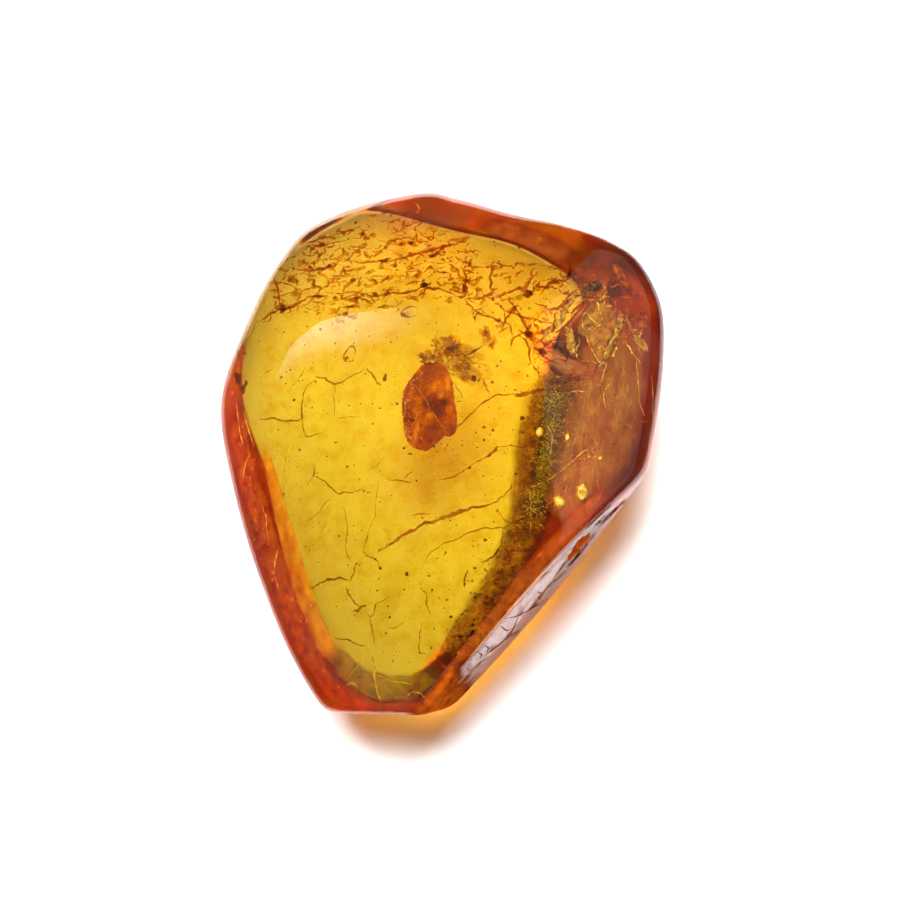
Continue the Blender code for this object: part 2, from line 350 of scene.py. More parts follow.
# Its torn left edge, the rows between which that edge runs straight, and the rows that glint.
INSECT_TORN_BEFORE = 410
INSECT_EDGE = 404
INSECT_EDGE_STRAIGHT = (390, 430)
INSECT_GLINT_ROWS = (378, 440)
INSECT_GLINTS = 90
INSECT_HEAD = ((431, 357), (13, 7.5))
INSECT_CLUMPS = (
    ((435, 343), (4.5, 4.5)), ((447, 339), (7, 3)), ((456, 343), (7, 4)), ((447, 350), (9, 4)),
)
# The fan of threads behind its head: where it is rooted and where its threads end.
FAN_ROOT = (447, 363)
FAN_TIPS = (
    (434, 339), (446, 336), (458, 339), (470, 345), (481, 350), (488, 361), (489, 374), (481, 385),
    (464, 380),
)
HAZE_LUMPS = 80
# Threads of the insect, in the same form as the cracks.
INSECT_THREADS = (
    (0.16, 3.7, 0.12, ((452, 356), (459, 355), (468, 354.5), (476, 350), (484, 346))),
    (0.06, 3.8, 0.06, ((452, 379), (457, 388), (464, 399))),
    (0.06, 3.8, 0.06, ((456, 402), (459, 401.5), (463, 401))),
    (0.07, 3.8, 0.07, ((449, 441), (447, 446), (444, 451))),
    (0.07, 3.8, 0.07, ((482, 377), (484, 384), (489, 393))),
)
INSECT_FOLDS = (
    (0.035, 2.9, 0.03, ((414, 384), (421, 393), (427, 402), (430, 410), (436, 417), (442, 427), (448, 435))),
    (0.05, 3.0, 0.05, ((420, 370), (422, 374), (420, 377))),
    (0.05, 3.0, 0.05, ((411, 381), (413, 383), (411, 386))),
    (0.05, 3.0, 0.05, ((407, 396), (411, 398), (410, 402))),
    (0.05, 3.1, 0.05, ((413, 410), (417, 414), (415, 420))),
    (0.05, 3.1, 0.05, ((451, 378), (453, 384), (454, 391))),
)
# A crumpled flake of bark beside it, and two husks: plan middle, reach, and tilt in degrees.
FLAKE = ((489, 338), (5, 10), -32)
FLAKE_LUMPS = 20
HUSKS = (((410, 312), (9, 5), -12), ((350, 354), (5, 8), 20))
HUSK_DEPTH = 2.0           # mm
# The cloudy band along the base's right edge: plan middle and half width.
CLOUDY_BAND = (
    ((570, 366), 15), ((564, 382), 22), ((557, 404), 27), ((546, 438), 27),
    ((536, 476), 22), ((528, 514), 18), ((515, 550), 16), ((498, 584), 15), ((477, 614), 14),
    ((457, 643), 12), ((441, 668), 9),
)
# A darker brown sheet under the rim at the broad end, painted shade where the window darkens into the rim:
# the same form.
RIM_SHADE = (((474, 223), 6), ((500, 229), 9), ((530, 239), 10), ((558, 251), 10), ((582, 264), 8))
# Glowing amber under the left rim and round the narrow end: the same form.
LEFT_GLOW = (
    ((240, 398), 5), ((239, 430), 9), ((243, 455), 10), ((251, 485), 11), ((262, 520), 11), ((274, 560), 11),
    ((289, 600), 12), ((304, 638), 12), ((318, 668), 10), ((334, 692), 8), ((356, 704), 5), ((384, 706), 4),
    ((412, 706), 4), ((432, 704), 4),
)
# Lit amber inside the left rim: the same form.
LIT_RIM = (
    ((262, 440), 2), ((270, 470), 5), ((280, 512), 7), ((292, 556), 9), ((307, 604), 9), ((324, 644), 9),
    ((342, 670), 6),
)
# Olive cloud under the right slope's mossy grains: the same form.
MOSS_CLOUD = (
    ((554, 382), 9), ((560, 402), 16), ((559, 430), 18), ((551, 460), 15), ((541, 490), 11), ((533, 520), 9),
)
# Rusty amber between the cloudy band and the side wall, and a dark olive sheet at the narrow end, painted
# shade where the window darkens into the rim: the same form.
RUSTY_BAND = (
    ((612, 486), 9), ((593, 508), 11), ((567, 536), 12), ((541, 562), 11), ((520, 588), 11),
    ((501, 613), 10), ((479, 641), 10), ((458, 668), 11), ((445, 688), 11), ((432, 701), 7),
)
END_SHADE = (
    ((330, 644), 8), ((342, 664), 11), ((360, 681), 13), ((386, 689), 14), ((410, 688), 13),
    ((428, 678), 10), ((440, 662), 7),
)
# Cloudy amber under the right slope: the same form.
SLOPE_CLOUD = (
    ((600, 262), 15), ((612, 286), 24), ((616, 320), 30), ((613, 360), 35), ((607, 400), 38),
    ((598, 440), 38), ((584, 476), 33), ((568, 504), 25), ((552, 526), 17),
)
# The cloudy strips in the order that they are laid in: a depth in mm (below zero, up from the far
# side), and the finish: a name, a light and a dark tone, how wide it is mottled in mm, the share
# of light that it throws back, and how far its mottling is drawn out along the stone.
CLOUDY_STRIPS = (
    ("cloudy_band", CLOUDY_BAND, -0.6, ("amber_cloudy", "#C8A840", "#6C500C", 0.7, 0.5)),
    # The end strip and the rim strip are painted shade: dark sheets where the window darkens into the rim.
    ("end_shade", END_SHADE, 2.2, ("painted_end_shade", "#A8882C", "#64500C", 0.9, 0.5)),
    ("rusty_band", RUSTY_BAND, 0.5, ("amber_rusty", "#F88428", "#C45410", 0.7, 0.3)),
    ("rim_shade", RIM_SHADE, 0.8, ("painted_rim_shade", "#B87030", "#8C4A14", 0.9, 0.22)),
    ("lit_rim", LIT_RIM, 1.6, ("amber_lit", "#FFB030", "#D86C10", 0.7, 0.36, 2.0)),
    ("left_glow", LEFT_GLOW, 1.8, ("amber_glowing", "#FF8C1C", "#A83004", 0.55, 0.24, 1.6)),
    ("moss_cloud", MOSS_CLOUD, 3.6, ("amber_mossy", "#C0A438", "#7C6414", 0.5, 0.36)),
    ("slope_cloud", SLOPE_CLOUD, 1.8, ("amber_hazy", "#FFB058", "#C4601C", 0.9, 0.32, 2.5)),
)
BAND_GRAIN_DEPTHS = (-2.2, -0.4)   # mm, up from the far side
BAND_GRAINS_LIT = 0.07     # share of the band's grains that catch the light
MOSS_DEPTHS = (1.4, 3.4)   # mm
# Flakes of fracture under the right slope: how bright, a depth in mm, and a plan outline.
# The gold of the smooth and bright flakes is painted gleam, the light that these fractures mirror.
FLAKES = (
    ("smooth", 1.7, ((582, 317), (588, 306), (598, 299), (608, 299), (615, 307), (619, 320), (617, 332),
                     (609, 346), (604, 357), (597, 359), (588, 344), (577, 330))),
    ("bright", 1.5, ((619, 312), (625, 318), (620, 332), (606, 358), (603, 356), (612, 338), (618, 326))),
    ("bright", 1.3, ((613, 265), (622, 270), (631, 286), (636, 297), (628, 291), (619, 280))),
    ("bright", 1.5, ((560, 317), (563, 304), (570, 294), (578, 292), (574, 301), (566, 312), (562, 325))),
    ("bright", 1.6, ((543, 331), (552, 325), (561, 318), (560, 325), (550, 332), (544, 336))),
    ("bright", 1.4, ((640, 312), (646, 316), (648, 324), (643, 328), (638, 322))),
    ("bright", 1.4, ((634, 334), (642, 337), (648, 346), (644, 352), (637, 343))),
    ("bright", 1.5, ((567, 326), (574, 338), (575, 356), (569, 352), (566, 338))),
    ("olive", 1.5, ((588, 284), (597, 280), (602, 287), (594, 293))),
    ("olive", 1.5, ((606, 284), (614, 280), (622, 290), (619, 299), (609, 295))),
    ("rusty", 1.8, ((524, 330), (534, 334), (545, 340), (556, 344), (563, 352), (572, 362), (590, 364),
                    (598, 376), (584, 381), (566, 379), (554, 370), (545, 366), (538, 358), (530, 348))),
)
FLAKE_TONES = {
    # The two tones of each sort, and the share of light it throws back.
    "smooth": ("#F4B84C", "#BC7828", 0.42), "bright": ("#FFD850", "#A86414", 0.7),
    "olive": ("#C0A048", "#6C5414", 0.4), "rusty": ("#FFD898", "#F0A45C", 0.45),
}
# The crust left on the side wall begins under this point, in mm, and lies this far out.
CRUST_FROM = (1.43, -17.22, 8.3)
CRUST_LIES = 0.02
# Dark cracks in the side wall, in the same form as the brown ones.
WALL_CRACKS = (
    (0.12, 0.0, 0.12, ((627, 499), (618, 507), (608, 517), (598, 527))),
    (0.10, 0.0, 0.12, ((504, 618), (518, 615), (533, 607), (549, 598))),
    (0.13, 0.0, 0.12, ((519, 615), (508, 636), (496, 646), (483, 657))),
    (0.09, 0.0, 0.12, ((508, 636), (514, 634), (520, 630))),
    (0.10, 0.0, 0.12, ((549, 570), (544, 575), (539, 580))),
    (0.09, 0.0, 0.12, ((537, 591), (541, 594), (539, 600))),
    (0.09, 0.0, 0.12, ((477, 651), (481, 655), (479, 660))),
    (0.09, 0.0, 0.12, ((484, 645), (488, 648), (486, 653))),
    (0.09, 0.0, 0.12, ((594, 526), (600, 521), (605, 515))),
    (0.12, 0.0, 0.12, ((596, 532), (586, 545), (573, 561), (566, 568))),
    (0.08, 0.0, 0.12, ((567, 560), (557, 572), (551, 583))),
    (0.10, 0.0, 0.12, ((612, 504), (604, 511), (596, 519), (585, 529))),
    (0.08, 0.0, 0.12, ((566, 570), (556, 580), (545, 590), (536, 602), (527, 610))),
    (0.07, 0.0, 0.12, ((500, 625), (506, 630), (512, 628))),
    (0.07, 0.0, 0.12, ((475, 668), (480, 662), (486, 657))),
)
CRACKS_LIE = 0.05          # mm outside the wall
# The pale sheet laid on the side wall, painted sheen over what the wall really mirrors, and the chip on it:
# plan outlines and their middles.
WALL_SHEEN = (
    (466, 668), (484, 642), (506, 616), (536, 583), (562, 555), (574, 545), (574, 552), (560, 572),
    (538, 598), (516, 626), (494, 652), (474, 672),
)
SHEEN_MIDDLE = (522, 610)
SHEEN_LIES = 0.015         # mm outside the wall
WALL_CHIP = ((577, 542), (584, 536), (590, 533), (588, 540), (581, 548), (574, 556), (567, 561), (570, 553))
CHIP_MIDDLE = (579, 547)
CHIP_LIES = 0.02           # mm outside the wall


def curve_through(points, steps):
    """A smooth closed curve through the points (Catmull-Rom), with so many steps a span."""
    before, here, ahead, beyond = (np.roll(points, -k, axis=0)[:, None] for k in (-1, 0, 1, 2))
    t = np.linspace(0, 1, steps, endpoint=False)[:, None]
    bend = 2 * before - 5 * here + 4 * ahead - beyond + t * (3 * (here - ahead) + beyond - before)
    return (here + t / 2 * (ahead - before + t * bend)).reshape(-1, points.shape[1])


def outline_radius(outline, angle):
    """How far a smooth closed curve through the outline's points lies from the axis."""
    x, y = curve_through(np.array(outline) - AXIS, 40).T
    turn = np.arctan2(y, x)
    order = np.argsort(turn)
    return np.interp(angle, turn[order], np.hypot(x, y)[order], period=2 * math.pi)


def smooth_max(a, b, rounding):
    """The larger of a and b, rounded over where the two are within `rounding` of each other."""
    overlap = np.clip(1 - np.abs(a - b) / rounding, 0, 1)
    return np.maximum(a, b) + rounding * overlap ** 3 / 6


def facing(compass, above):
    """The unit vector at a compass angle from +X and an angle above the horizon."""
    compass, above = math.radians(compass), math.radians(above)
    level = math.cos(above)
    return np.array((math.cos(compass) * level, math.sin(compass) * level, math.sin(above)))


def under_bevel(x, y, z):
    """Distance outside the ruled surface from the base's edge out and up to the girdle."""
    x, y = x - AXIS[0], y - AXIS[1]
    reach, angle, step = np.hypot(x, y), np.arctan2(y, x), 0.01
    girdle, base = outline_radius(GIRDLE_OUTLINE, angle), outline_radius(BASE_OUTLINE, angle)
    ahead, behind = (outline_radius(GIRDLE_OUTLINE, angle + turn) for turn in (step, -step))
    slant = np.hypot(1, (ahead - behind) / (2 * step) / girdle)
    rise = np.hypot(girdle - base, GIRDLE_HEIGHT)
    return ((reach - base) * GIRDLE_HEIGHT - z * (girdle - base)) / (rise * slant)


def dome(x, y, z):
    """Distance outside the dome."""
    across, along = (x - DOME_TOP[0]) / DOME_REACH[0], (y - DOME_TOP[1]) / DOME_REACH[1]
    out = np.hypot(across, along)
    height = DOME_TOP[2] + DOME_DIP * y - DOME_FALL * out ** DOME_FLATNESS
    steepness = DOME_FALL * DOME_FLATNESS * out ** (DOME_FLATNESS - 1) / DOME_REACH[0]
    return (z - height) / np.hypot(1, steepness)


def outside(points):
    """How far each point lies outside the stone (negative inside), before it is centred."""
    x, y, z = points.T
    distance = smooth_max(under_bevel(x, y, z), dome(x, y, z), GIRDLE_ROUNDING)
    for point, compass, above, rounding in FACES.values():
        distance = smooth_max(distance, (points - point) @ facing(compass, above), rounding)
    return smooth_max(distance, -z, BASE_ROUNDING)


def onto_stone(guides):
    """Where the rays from INSIDE through the guide points leave the stone, found by halving."""
    directions = guides - INSIDE
    near, far = np.zeros(len(directions)), np.full(len(directions), 3.0)
    for _ in range(30):
        half = (near + far) / 2
        within = outside(INSIDE + directions * half[:, None]) < 0
        near, far = np.where(within, half, near), np.where(within, far, half)
    points = INSIDE + directions * near[:, None]
    points[:, 2] = np.where(points[:, 2] < FLAT_WITHIN, 0, points[:, 2])
    return points - (*MIDDLE, 0)


def eased(count, gather):
    """From 0 to 1 in so many steps, closer together towards both ends as `gather` nears 1."""
    t = np.linspace(0, 1, count, endpoint=False)
    return (1 - gather) * t + gather * (1 - np.cos(math.pi * t)) / 2


def guide_rings(spokes):
    """Rings of guide points round the axis: out over the base, up the bevels, in over the dome."""
    angle = np.linspace(0, 2 * math.pi, spokes, endpoint=False)
    girdle, base = outline_radius(GIRDLE_OUTLINE, angle), outline_radius(BASE_OUTLINE, angle)
    rings = [(base * out, 0.0) for out in 1 - eased(BASE_RINGS, 0.9)[:0:-1]]
    rings += [(base + (girdle - base) * up, GIRDLE_HEIGHT * up) for up in eased(BEVEL_RINGS, 0.8)]
    for turn in eased(DOME_RINGS, 0.5) * math.pi / 2:
        rings.append((girdle * math.cos(turn), GIRDLE_HEIGHT + GIRDLE_HEIGHT * math.sin(turn)))
    around = np.stack((np.cos(angle), np.sin(angle)), axis=1)
    return [
        np.column_stack((around * reach[:, None] + AXIS, np.full(spokes, height)))
        for reach, height in rings
    ]


# ---------------------------------------------------------------------------------------------
# What a user would change
# ---------------------------------------------------------------------------------------------
def linear(hex_code):
    """An sRGB hex colour as linear red, green and blue."""
    values = (int(hex_code[k:k + 2], 16) / 255 for k in (1, 3, 5))
    return tuple(v / 12.92 if v <= 0.04045 else ((v + 0.055) / 1.055) ** 2.4 for v in values)


def size_setting(name, default, description):
    """A length, kept in millimetres."""
    return bpy.props.FloatProperty(name=name, default=default, min=0, description=description + ", in mm")


def colour_setting(name, hex_code, description):
    """A colour, given as an sRGB hex value."""
    return bpy.props.FloatVectorProperty(
        name=name, subtype="COLOR", size=3, min=0, max=1, default=linear(hex_code), description=description
    )


class StoneSettings(bpy.types.PropertyGroup):
    """The amber itself."""

    spokes: bpy.props.IntProperty(
        name="Spokes", default=420, min=60, max=700, description="Points in each ring of the visible mesh"
    )
    waviness: size_setting("Waviness", 0.012, "How far hand polishing left the dome uneven")
    red_absorbed: bpy.props.FloatProperty(
        name="Red absorbed", default=0.022, min=0, description="Share of red lost in a millimetre"
    )
    green_absorbed: bpy.props.FloatProperty(
        name="Green absorbed", default=0.037, min=0, description="Share of green lost in a millimetre"
    )
    blue_absorbed: bpy.props.FloatProperty(
        name="Blue absorbed", default=0.18, min=0, description="Share of blue lost in a millimetre"
    )
    rind_colour: colour_setting("Rind", "#FFBC28", "Tint of the weathered skin left on the bevels")
    rind_deep: colour_setting("Deep rind", "#FF680C", "Tint of the rind where it is thickest")
    rind_dark: colour_setting("Side rind", "#A0400E", "Tint of the rind on the side wall")
    rind_depth: size_setting("Rind depth", 0.15, "How far inside the surface the rind lies")
    # Both ground tints are painted shade: grey that dims the window seen through the base, darker towards the
    # narrow end.
    ground_shade_broad: colour_setting("Ground base", "#EEECE6", "Tint of the ground base at the broad end")
    ground_shade_narrow: colour_setting("Shaded base", "#A29E96", "Tint of the ground base at the dirtier narrow end")


class CrackSettings(bpy.types.PropertyGroup):
    """The cracks that age has opened in the stone."""

    width: bpy.props.FloatProperty(
        name="Width", default=1.0, min=0.2, max=3,
        description="How wide the cracks are, as a share of their own width",
    )
    seed: bpy.props.IntProperty(name="Seed", default=3, description="Another number wanders another way")


class InsectSettings(bpy.types.PropertyGroup):
    """The insect and what lies beside it."""

    tuft_threads: bpy.props.IntProperty(
        name="Tuft threads", default=110, min=0, description="How many fine threads the tuft has"
    )
    seed: bpy.props.IntProperty(name="Seed", default=5, description="Another number lays them another way")


class SpeckSettings(bpy.types.PropertyGroup):
    """Dust caught in the resin."""

    count: bpy.props.IntProperty(
        name="Count", default=1500, min=0,
        description="How many grains are tried; those outside the dust's outline are left out",
    )
    band_grains: bpy.props.IntProperty(
        name="Band grains", default=650, min=0, description="How many grains cloud the band along the base"
    )
    seed: bpy.props.IntProperty(
        name="Seed", default=11, description="Another number scatters them another way"
    )


class StageSettings(bpy.types.PropertyGroup):
    """Floor, light and camera."""

    floor_colour: colour_setting("Floor", "#F4F4F4", "Colour of the pale floor")
    world_light: bpy.props.FloatProperty(
        name="Room light", default=0.05, min=0, description="Brightness of the room all round"
    )
    main_light: bpy.props.FloatProperty(
        name="Main light", default=21.0, min=0, description="Radiance of the large soft light"
    )
    back_light: bpy.props.FloatProperty(
        name="Back light", default=6.0, min=0, description="Radiance of the soft light behind the broad end"
    )
    window_light: bpy.props.FloatProperty(
        name="Window light", default=4.5, min=0, description="Radiance of the strip that the dome mirrors"
    )


# ---------------------------------------------------------------------------------------------
# Materials
# ---------------------------------------------------------------------------------------------
# A mix node's two colour inputs and its colour output, by number, since its other kinds of input
# have the same names.
MIX_FIRST, MIX_SECOND, MIXED = 6, 7, 2
UNTINTED = (1, 1, 1)       # lets all the light by


def add(tree, kind, inputs=None, **settings):
    """Adds a node with its settings.  An input is a value, or an output socket to link."""
    node = tree.nodes.new(kind)
    for key, value in settings.items():
        setattr(node, key, value)
    for key, value in (inputs or {}).items():
        socket = node.inputs[key]
        if isinstance(value, bpy.types.NodeSocket):
            tree.links.new(value, socket)
        elif socket.type == "RGBA" and len(value) == 3:
            socket.default_value = (*value, 1)
        else:
            socket.default_value = value
    return node


def new_material(name):
    """A material with nothing but its output, and its node tree."""
    material = bpy.data.materials.new(name)
    material.use_nodes = True
    material.node_tree.nodes.clear()
    add(material.node_tree, "ShaderNodeOutputMaterial", name="Output")
    return material, material.node_tree


def finish_material(tree, surface, volume=None):
    """Links the surface, and the volume where there is one, to the material's output."""
    output = tree.nodes["Output"]
    tree.links.new(surface.outputs[0], output.inputs["Surface"])
    if volume:
        tree.links.new(volume.outputs[0], output.inputs["Volume"])


def amber_polished():
    """Baltic amber, tumbled and hand polished: glassy on the dome and the bevels, where it mirrors the
    window, and matt on the ground base, which is tinted grey as painted shade, darker towards the narrow end."""
    stone = bpy.context.scene.amber_stone
    material, tree = new_material("amber_polished")
    place = add(tree, "ShaderNodeTexCoord").outputs["Object"]
    height = add(tree, "ShaderNodeSeparateXYZ", {"Vector": place}).outputs["Z"]
    rind = add(tree, "ShaderNodeAttribute", attribute_name="rind").outputs["Fac"]
    ground = add(tree, "ShaderNodeMapRange", {
        "Value": height, "From Min": 0.02 * MM, "From Max": 0.15 * MM, "To Min": 1.0, "To Max": 0.0,
    }).outputs["Result"]
    across = add(tree, "ShaderNodeVectorMath", {0: place, 1: (0.5, 0.85, 0)}, operation="DOT_PRODUCT")
    along = add(tree, "ShaderNodeMapRange", {
        "Value": across.outputs["Value"], "From Min": -14 * MM, "From Max": 14 * MM,
    }).outputs["Result"]
    # The ground base's grey tint is painted shade, darker towards the narrow end.
    painted_shade = add(tree, "ShaderNodeMix", {
        "Factor": along, MIX_FIRST: tuple(stone.ground_shade_narrow), MIX_SECOND: tuple(stone.ground_shade_broad),
    }, data_type="RGBA").outputs[MIXED]
    clear = add(tree, "ShaderNodeMix", {
        "Factor": ground, MIX_FIRST: UNTINTED, MIX_SECOND: painted_shade,
    }, data_type="RGBA").outputs[MIXED]
    rough = add(tree, "ShaderNodeMapRange", {
        "Value": ground, "To Min": 0.02, "To Max": 0.30,
    }).outputs["Result"]
    rougher = add(tree, "ShaderNodeMath", {0: rind, 1: 0.16, 2: rough}, operation="MULTIPLY_ADD").outputs[0]
    absorbed = (stone.red_absorbed, stone.green_absorbed, stone.blue_absorbed)
    most = max(absorbed)
    shader = add(tree, "ShaderNodeBsdfPrincipled", {
        "Base Color": clear, "Roughness": rougher, "IOR": AMBER_IOR, "Transmission Weight": 1.0,
    })
    volume = add(tree, "ShaderNodeVolumeAbsorption", {
        "Color": tuple(1 - share / most for share in absorbed), "Density": most / MM,
    })
    finish_material(tree, shader, volume)
    return material


def rind_weathered():
    """Amber oxidised where the air reached it: a clear red-orange skin, mottled, that the light
    passes on its way to the bevels and back."""
    stone = bpy.context.scene.amber_stone
    material, tree = new_material("rind_weathered")
    place = add(tree, "ShaderNodeTexCoord").outputs["Object"]
    cover = add(tree, "ShaderNodeAttribute", attribute_name="cover").outputs["Fac"]
    blotches = add(tree, "ShaderNodeTexNoise", {
        "Vector": place, "Scale": 1 / (1.9 * MM), "Detail": 5.0, "Roughness": 0.65, "Distortion": 1.2,
    }).outputs["Fac"]
    thickness = add(
        tree, "ShaderNodeMapRange", {"Value": blotches, "From Min": 0.36, "From Max": 0.60}
    ).outputs["Result"]
    dark = add(tree, "ShaderNodeAttribute", attribute_name="dark").outputs["Fac"]
    mottled = add(tree, "ShaderNodeMix", {
        "Factor": thickness, MIX_FIRST: tuple(stone.rind_colour), MIX_SECOND: tuple(stone.rind_deep),
    }, data_type="RGBA").outputs[MIXED]
    stain = add(tree, "ShaderNodeMix", {
        "Factor": dark, MIX_FIRST: mottled, MIX_SECOND: tuple(stone.rind_dark),
    }, data_type="RGBA").outputs[MIXED]
    clear = add(tree, "ShaderNodeMapRange", {"Value": cover, "To Min": 1.0, "To Max": 0.95}).outputs["Result"]
    colour = add(tree, "ShaderNodeMix", {
        "Factor": cover, MIX_FIRST: UNTINTED, MIX_SECOND: stain,
    }, data_type="RGBA").outputs[MIXED]
    finish_material(tree, add(tree, "ShaderNodeBsdfPrincipled", {
        "Base Color": colour, "Roughness": 0.0, "IOR": 1.0, "Transmission Weight": clear,
    }))
    return material


def film_stained(name, thin, thick, patch=0.7, fading=False):
    """A see-through stain on the walls of a body sealed in the amber: it takes its colour from the
    light that passes, so it is darker where bodies overlap, and mottled over `patch` mm.  A film
    that fades thins out to nothing where the mesh's "cover" does."""
    material, tree = new_material(name)
    place = add(tree, "ShaderNodeTexCoord").outputs["Object"]
    patches = add(tree, "ShaderNodeTexNoise", {
        "Vector": place, "Scale": 1 / (patch * MM), "Detail": 3.0,
    }).outputs["Fac"]
    film = add(tree, "ShaderNodeMapRange", {"Value": patches, "From Min": 0.35, "From Max": 0.65})
    colour = add(tree, "ShaderNodeMix", {
        "Factor": film.outputs["Result"], MIX_FIRST: linear(thin), MIX_SECOND: linear(thick),
    }, data_type="RGBA").outputs[MIXED]
    if fading:
        cover = add(tree, "ShaderNodeAttribute", attribute_name="cover").outputs["Fac"]
        colour = add(tree, "ShaderNodeMix", {
            "Factor": cover, MIX_FIRST: UNTINTED, MIX_SECOND: colour,
        }, data_type="RGBA").outputs[MIXED]
    finish_material(tree, add(tree, "ShaderNodeBsdfPrincipled", {
        "Base Color": colour, "Roughness": 0.0, "IOR": 1.0, "Transmission Weight": 1.0,
    }))
    return material


def dust_veiled():
    """A veil of dust too fine to see as grains: brown blotches in the clear amber."""
    material, tree = new_material("dust_veiled")
    place = add(tree, "ShaderNodeTexCoord").outputs["Object"]
    cover = add(tree, "ShaderNodeAttribute", attribute_name="cover").outputs["Fac"]
    blotches = add(tree, "ShaderNodeTexNoise", {
        "Vector": place, "Scale": 1 / (1.1 * MM), "Detail": 9.0, "Roughness": 0.78,
    }).outputs["Fac"]
    thick = add(tree, "ShaderNodeMapRange", {
        "Value": blotches, "From Min": 0.46, "From Max": 0.68,
    }).outputs["Result"]
    dusty = add(tree, "ShaderNodeMix", {
        "Factor": thick, MIX_FIRST: UNTINTED, MIX_SECOND: linear("#ECD494"),
    }, data_type="RGBA").outputs[MIXED]
    colour = add(tree, "ShaderNodeMix", {
        "Factor": cover, MIX_FIRST: UNTINTED, MIX_SECOND: dusty,
    }, data_type="RGBA").outputs[MIXED]
    finish_material(tree, add(tree, "ShaderNodeBsdfPrincipled", {
        "Base Color": colour, "Roughness": 0.0, "IOR": 1.0, "Transmission Weight": 1.0,
    }))
    return material


def cuticle_translucent():
    """The insect's skin, gone clear brown in the resin: red-brown to look through, darker over the
    gut and the folded legs, and pale orange where it has split."""
    material, tree = new_material("cuticle_translucent")
    place = add(tree, "ShaderNodeTexCoord").outputs["Object"]
    dark = add(tree, "ShaderNodeAttribute", attribute_name="dark").outputs["Fac"]
    pale = add(tree, "ShaderNodeAttribute", attribute_name="pale").outputs["Fac"]
    mottle = add(tree, "ShaderNodeTexNoise", {
        "Vector": place, "Scale": 1 / (0.45 * MM), "Detail": 8.0, "Roughness": 0.8,
    }).outputs["Fac"]
    film = add(tree, "ShaderNodeMapRange", {
        "Value": mottle, "From Min": 0.40, "From Max": 0.60,
    }).outputs["Result"]
    shade = add(tree, "ShaderNodeMath", {0: dark, 1: 0.8}, operation="MULTIPLY").outputs[0]
    colour = add(tree, "ShaderNodeMix", {
        "Factor": film, MIX_FIRST: linear("#EC9A42"), MIX_SECOND: linear("#AC480E"),
    }, data_type="RGBA").outputs[MIXED]
    # Over that plain skin lie the dark parts and then the pale ones, each mottled the same way.
    for share, light, deep in ((shade, "#B05C1C", "#7C340A"), (pale, "#FFC458", "#F0903C")):
        tone = add(tree, "ShaderNodeMix", {
            "Factor": film, MIX_FIRST: linear(light), MIX_SECOND: linear(deep),
        }, data_type="RGBA").outputs[MIXED]
        colour = add(tree, "ShaderNodeMix", {
            "Factor": share, MIX_FIRST: colour, MIX_SECOND: tone,
        }, data_type="RGBA").outputs[MIXED]
    finish_material(tree, add(tree, "ShaderNodeBsdfPrincipled", {
        "Base Color": colour, "Roughness": 0.0, "IOR": 1.0, "Transmission Weight": 1.0,
    }))
    return material


def cloudy_amber(name, light, dark, patch, most, drawn_out=1.0):
    """Amber clouded by fine bubbles: it throws back part of the light, mottled over `patch` mm (and
    so many times longer along the stone), and thins out to clear where the mesh's "cover" does.
    `most` is the share that it throws back."""
    material, tree = new_material(name)
    place = add(tree, "ShaderNodeTexCoord").outputs["Object"]
    cover = add(tree, "ShaderNodeAttribute", attribute_name="cover").outputs["Fac"]
    drawn = add(tree, "ShaderNodeVectorMath", {0: place, 1: (1, 1 / drawn_out, 1)}, operation="MULTIPLY")
    patches = add(tree, "ShaderNodeTexNoise", {
        "Vector": drawn.outputs[0], "Scale": 1 / (patch * MM), "Detail": 6.0, "Roughness": 0.7,
    }).outputs["Fac"]
    mottle = add(tree, "ShaderNodeMapRange", {"Value": patches, "From Min": 0.36, "From Max": 0.64})
    tone = add(tree, "ShaderNodeMix", {
        "Factor": mottle.outputs["Result"], MIX_FIRST: linear(dark), MIX_SECOND: linear(light),
    }, data_type="RGBA").outputs[MIXED]
    tinted = add(tree, "ShaderNodeMapRange", {"Value": cover, "From Max": 0.5}).outputs["Result"]
    clear = add(tree, "ShaderNodeMapRange", {
        "Value": cover, "From Min": 0.35, "To Min": 1.0, "To Max": 1 - most,
    }).outputs["Result"]
    colour = add(tree, "ShaderNodeMix", {
        "Factor": tinted, MIX_FIRST: UNTINTED, MIX_SECOND: tone,
    }, data_type="RGBA").outputs[MIXED]
    finish_material(tree, add(tree, "ShaderNodeBsdfPrincipled", {
        "Base Color": colour, "Roughness": 0.0, "IOR": 1.0, "Transmission Weight": clear,
    }))
    return material


def fracture_lit(name, dull, bright):
    """The face of a fracture, a grain or a bubble that throws the light back and isn't seen
    through: a dull tone with brighter patches, broken up as rough resin is."""
    material, tree = new_material(name)
    place = add(tree, "ShaderNodeTexCoord").outputs["Object"]
    patches = add(tree, "ShaderNodeTexNoise", {
        "Vector": place, "Scale": 1 / (0.4 * MM), "Detail": 5.0, "Roughness": 0.75,
    }).outputs["Fac"]
    lit = add(tree, "ShaderNodeMapRange", {"Value": patches, "From Min": 0.43, "From Max": 0.58})
    colour = add(tree, "ShaderNodeMix", {
        "Factor": lit.outputs["Result"], MIX_FIRST: linear(dull), MIX_SECOND: linear(bright),
    }, data_type="RGBA").outputs[MIXED]
    finish_material(tree, add(tree, "ShaderNodeBsdfPrincipled", {
        "Base Color": colour, "Roughness": 0.5, "IOR": 1.0,
    }))
    return material


# ---------------------------------------------------------------------------------------------
# Places and meshes
# ---------------------------------------------------------------------------------------------
def camera_place():
    """Where the camera stands, in metres."""
    away = CAMERA_LENS / SENSOR * PLAN_SIDE * PLAN_UNIT
    tilt = math.radians(CAMERA_ELEVATION)
    return (Vector(CAMERA_TARGET) + Vector((0, -math.cos(tilt), math.sin(tilt))) * away) * MM


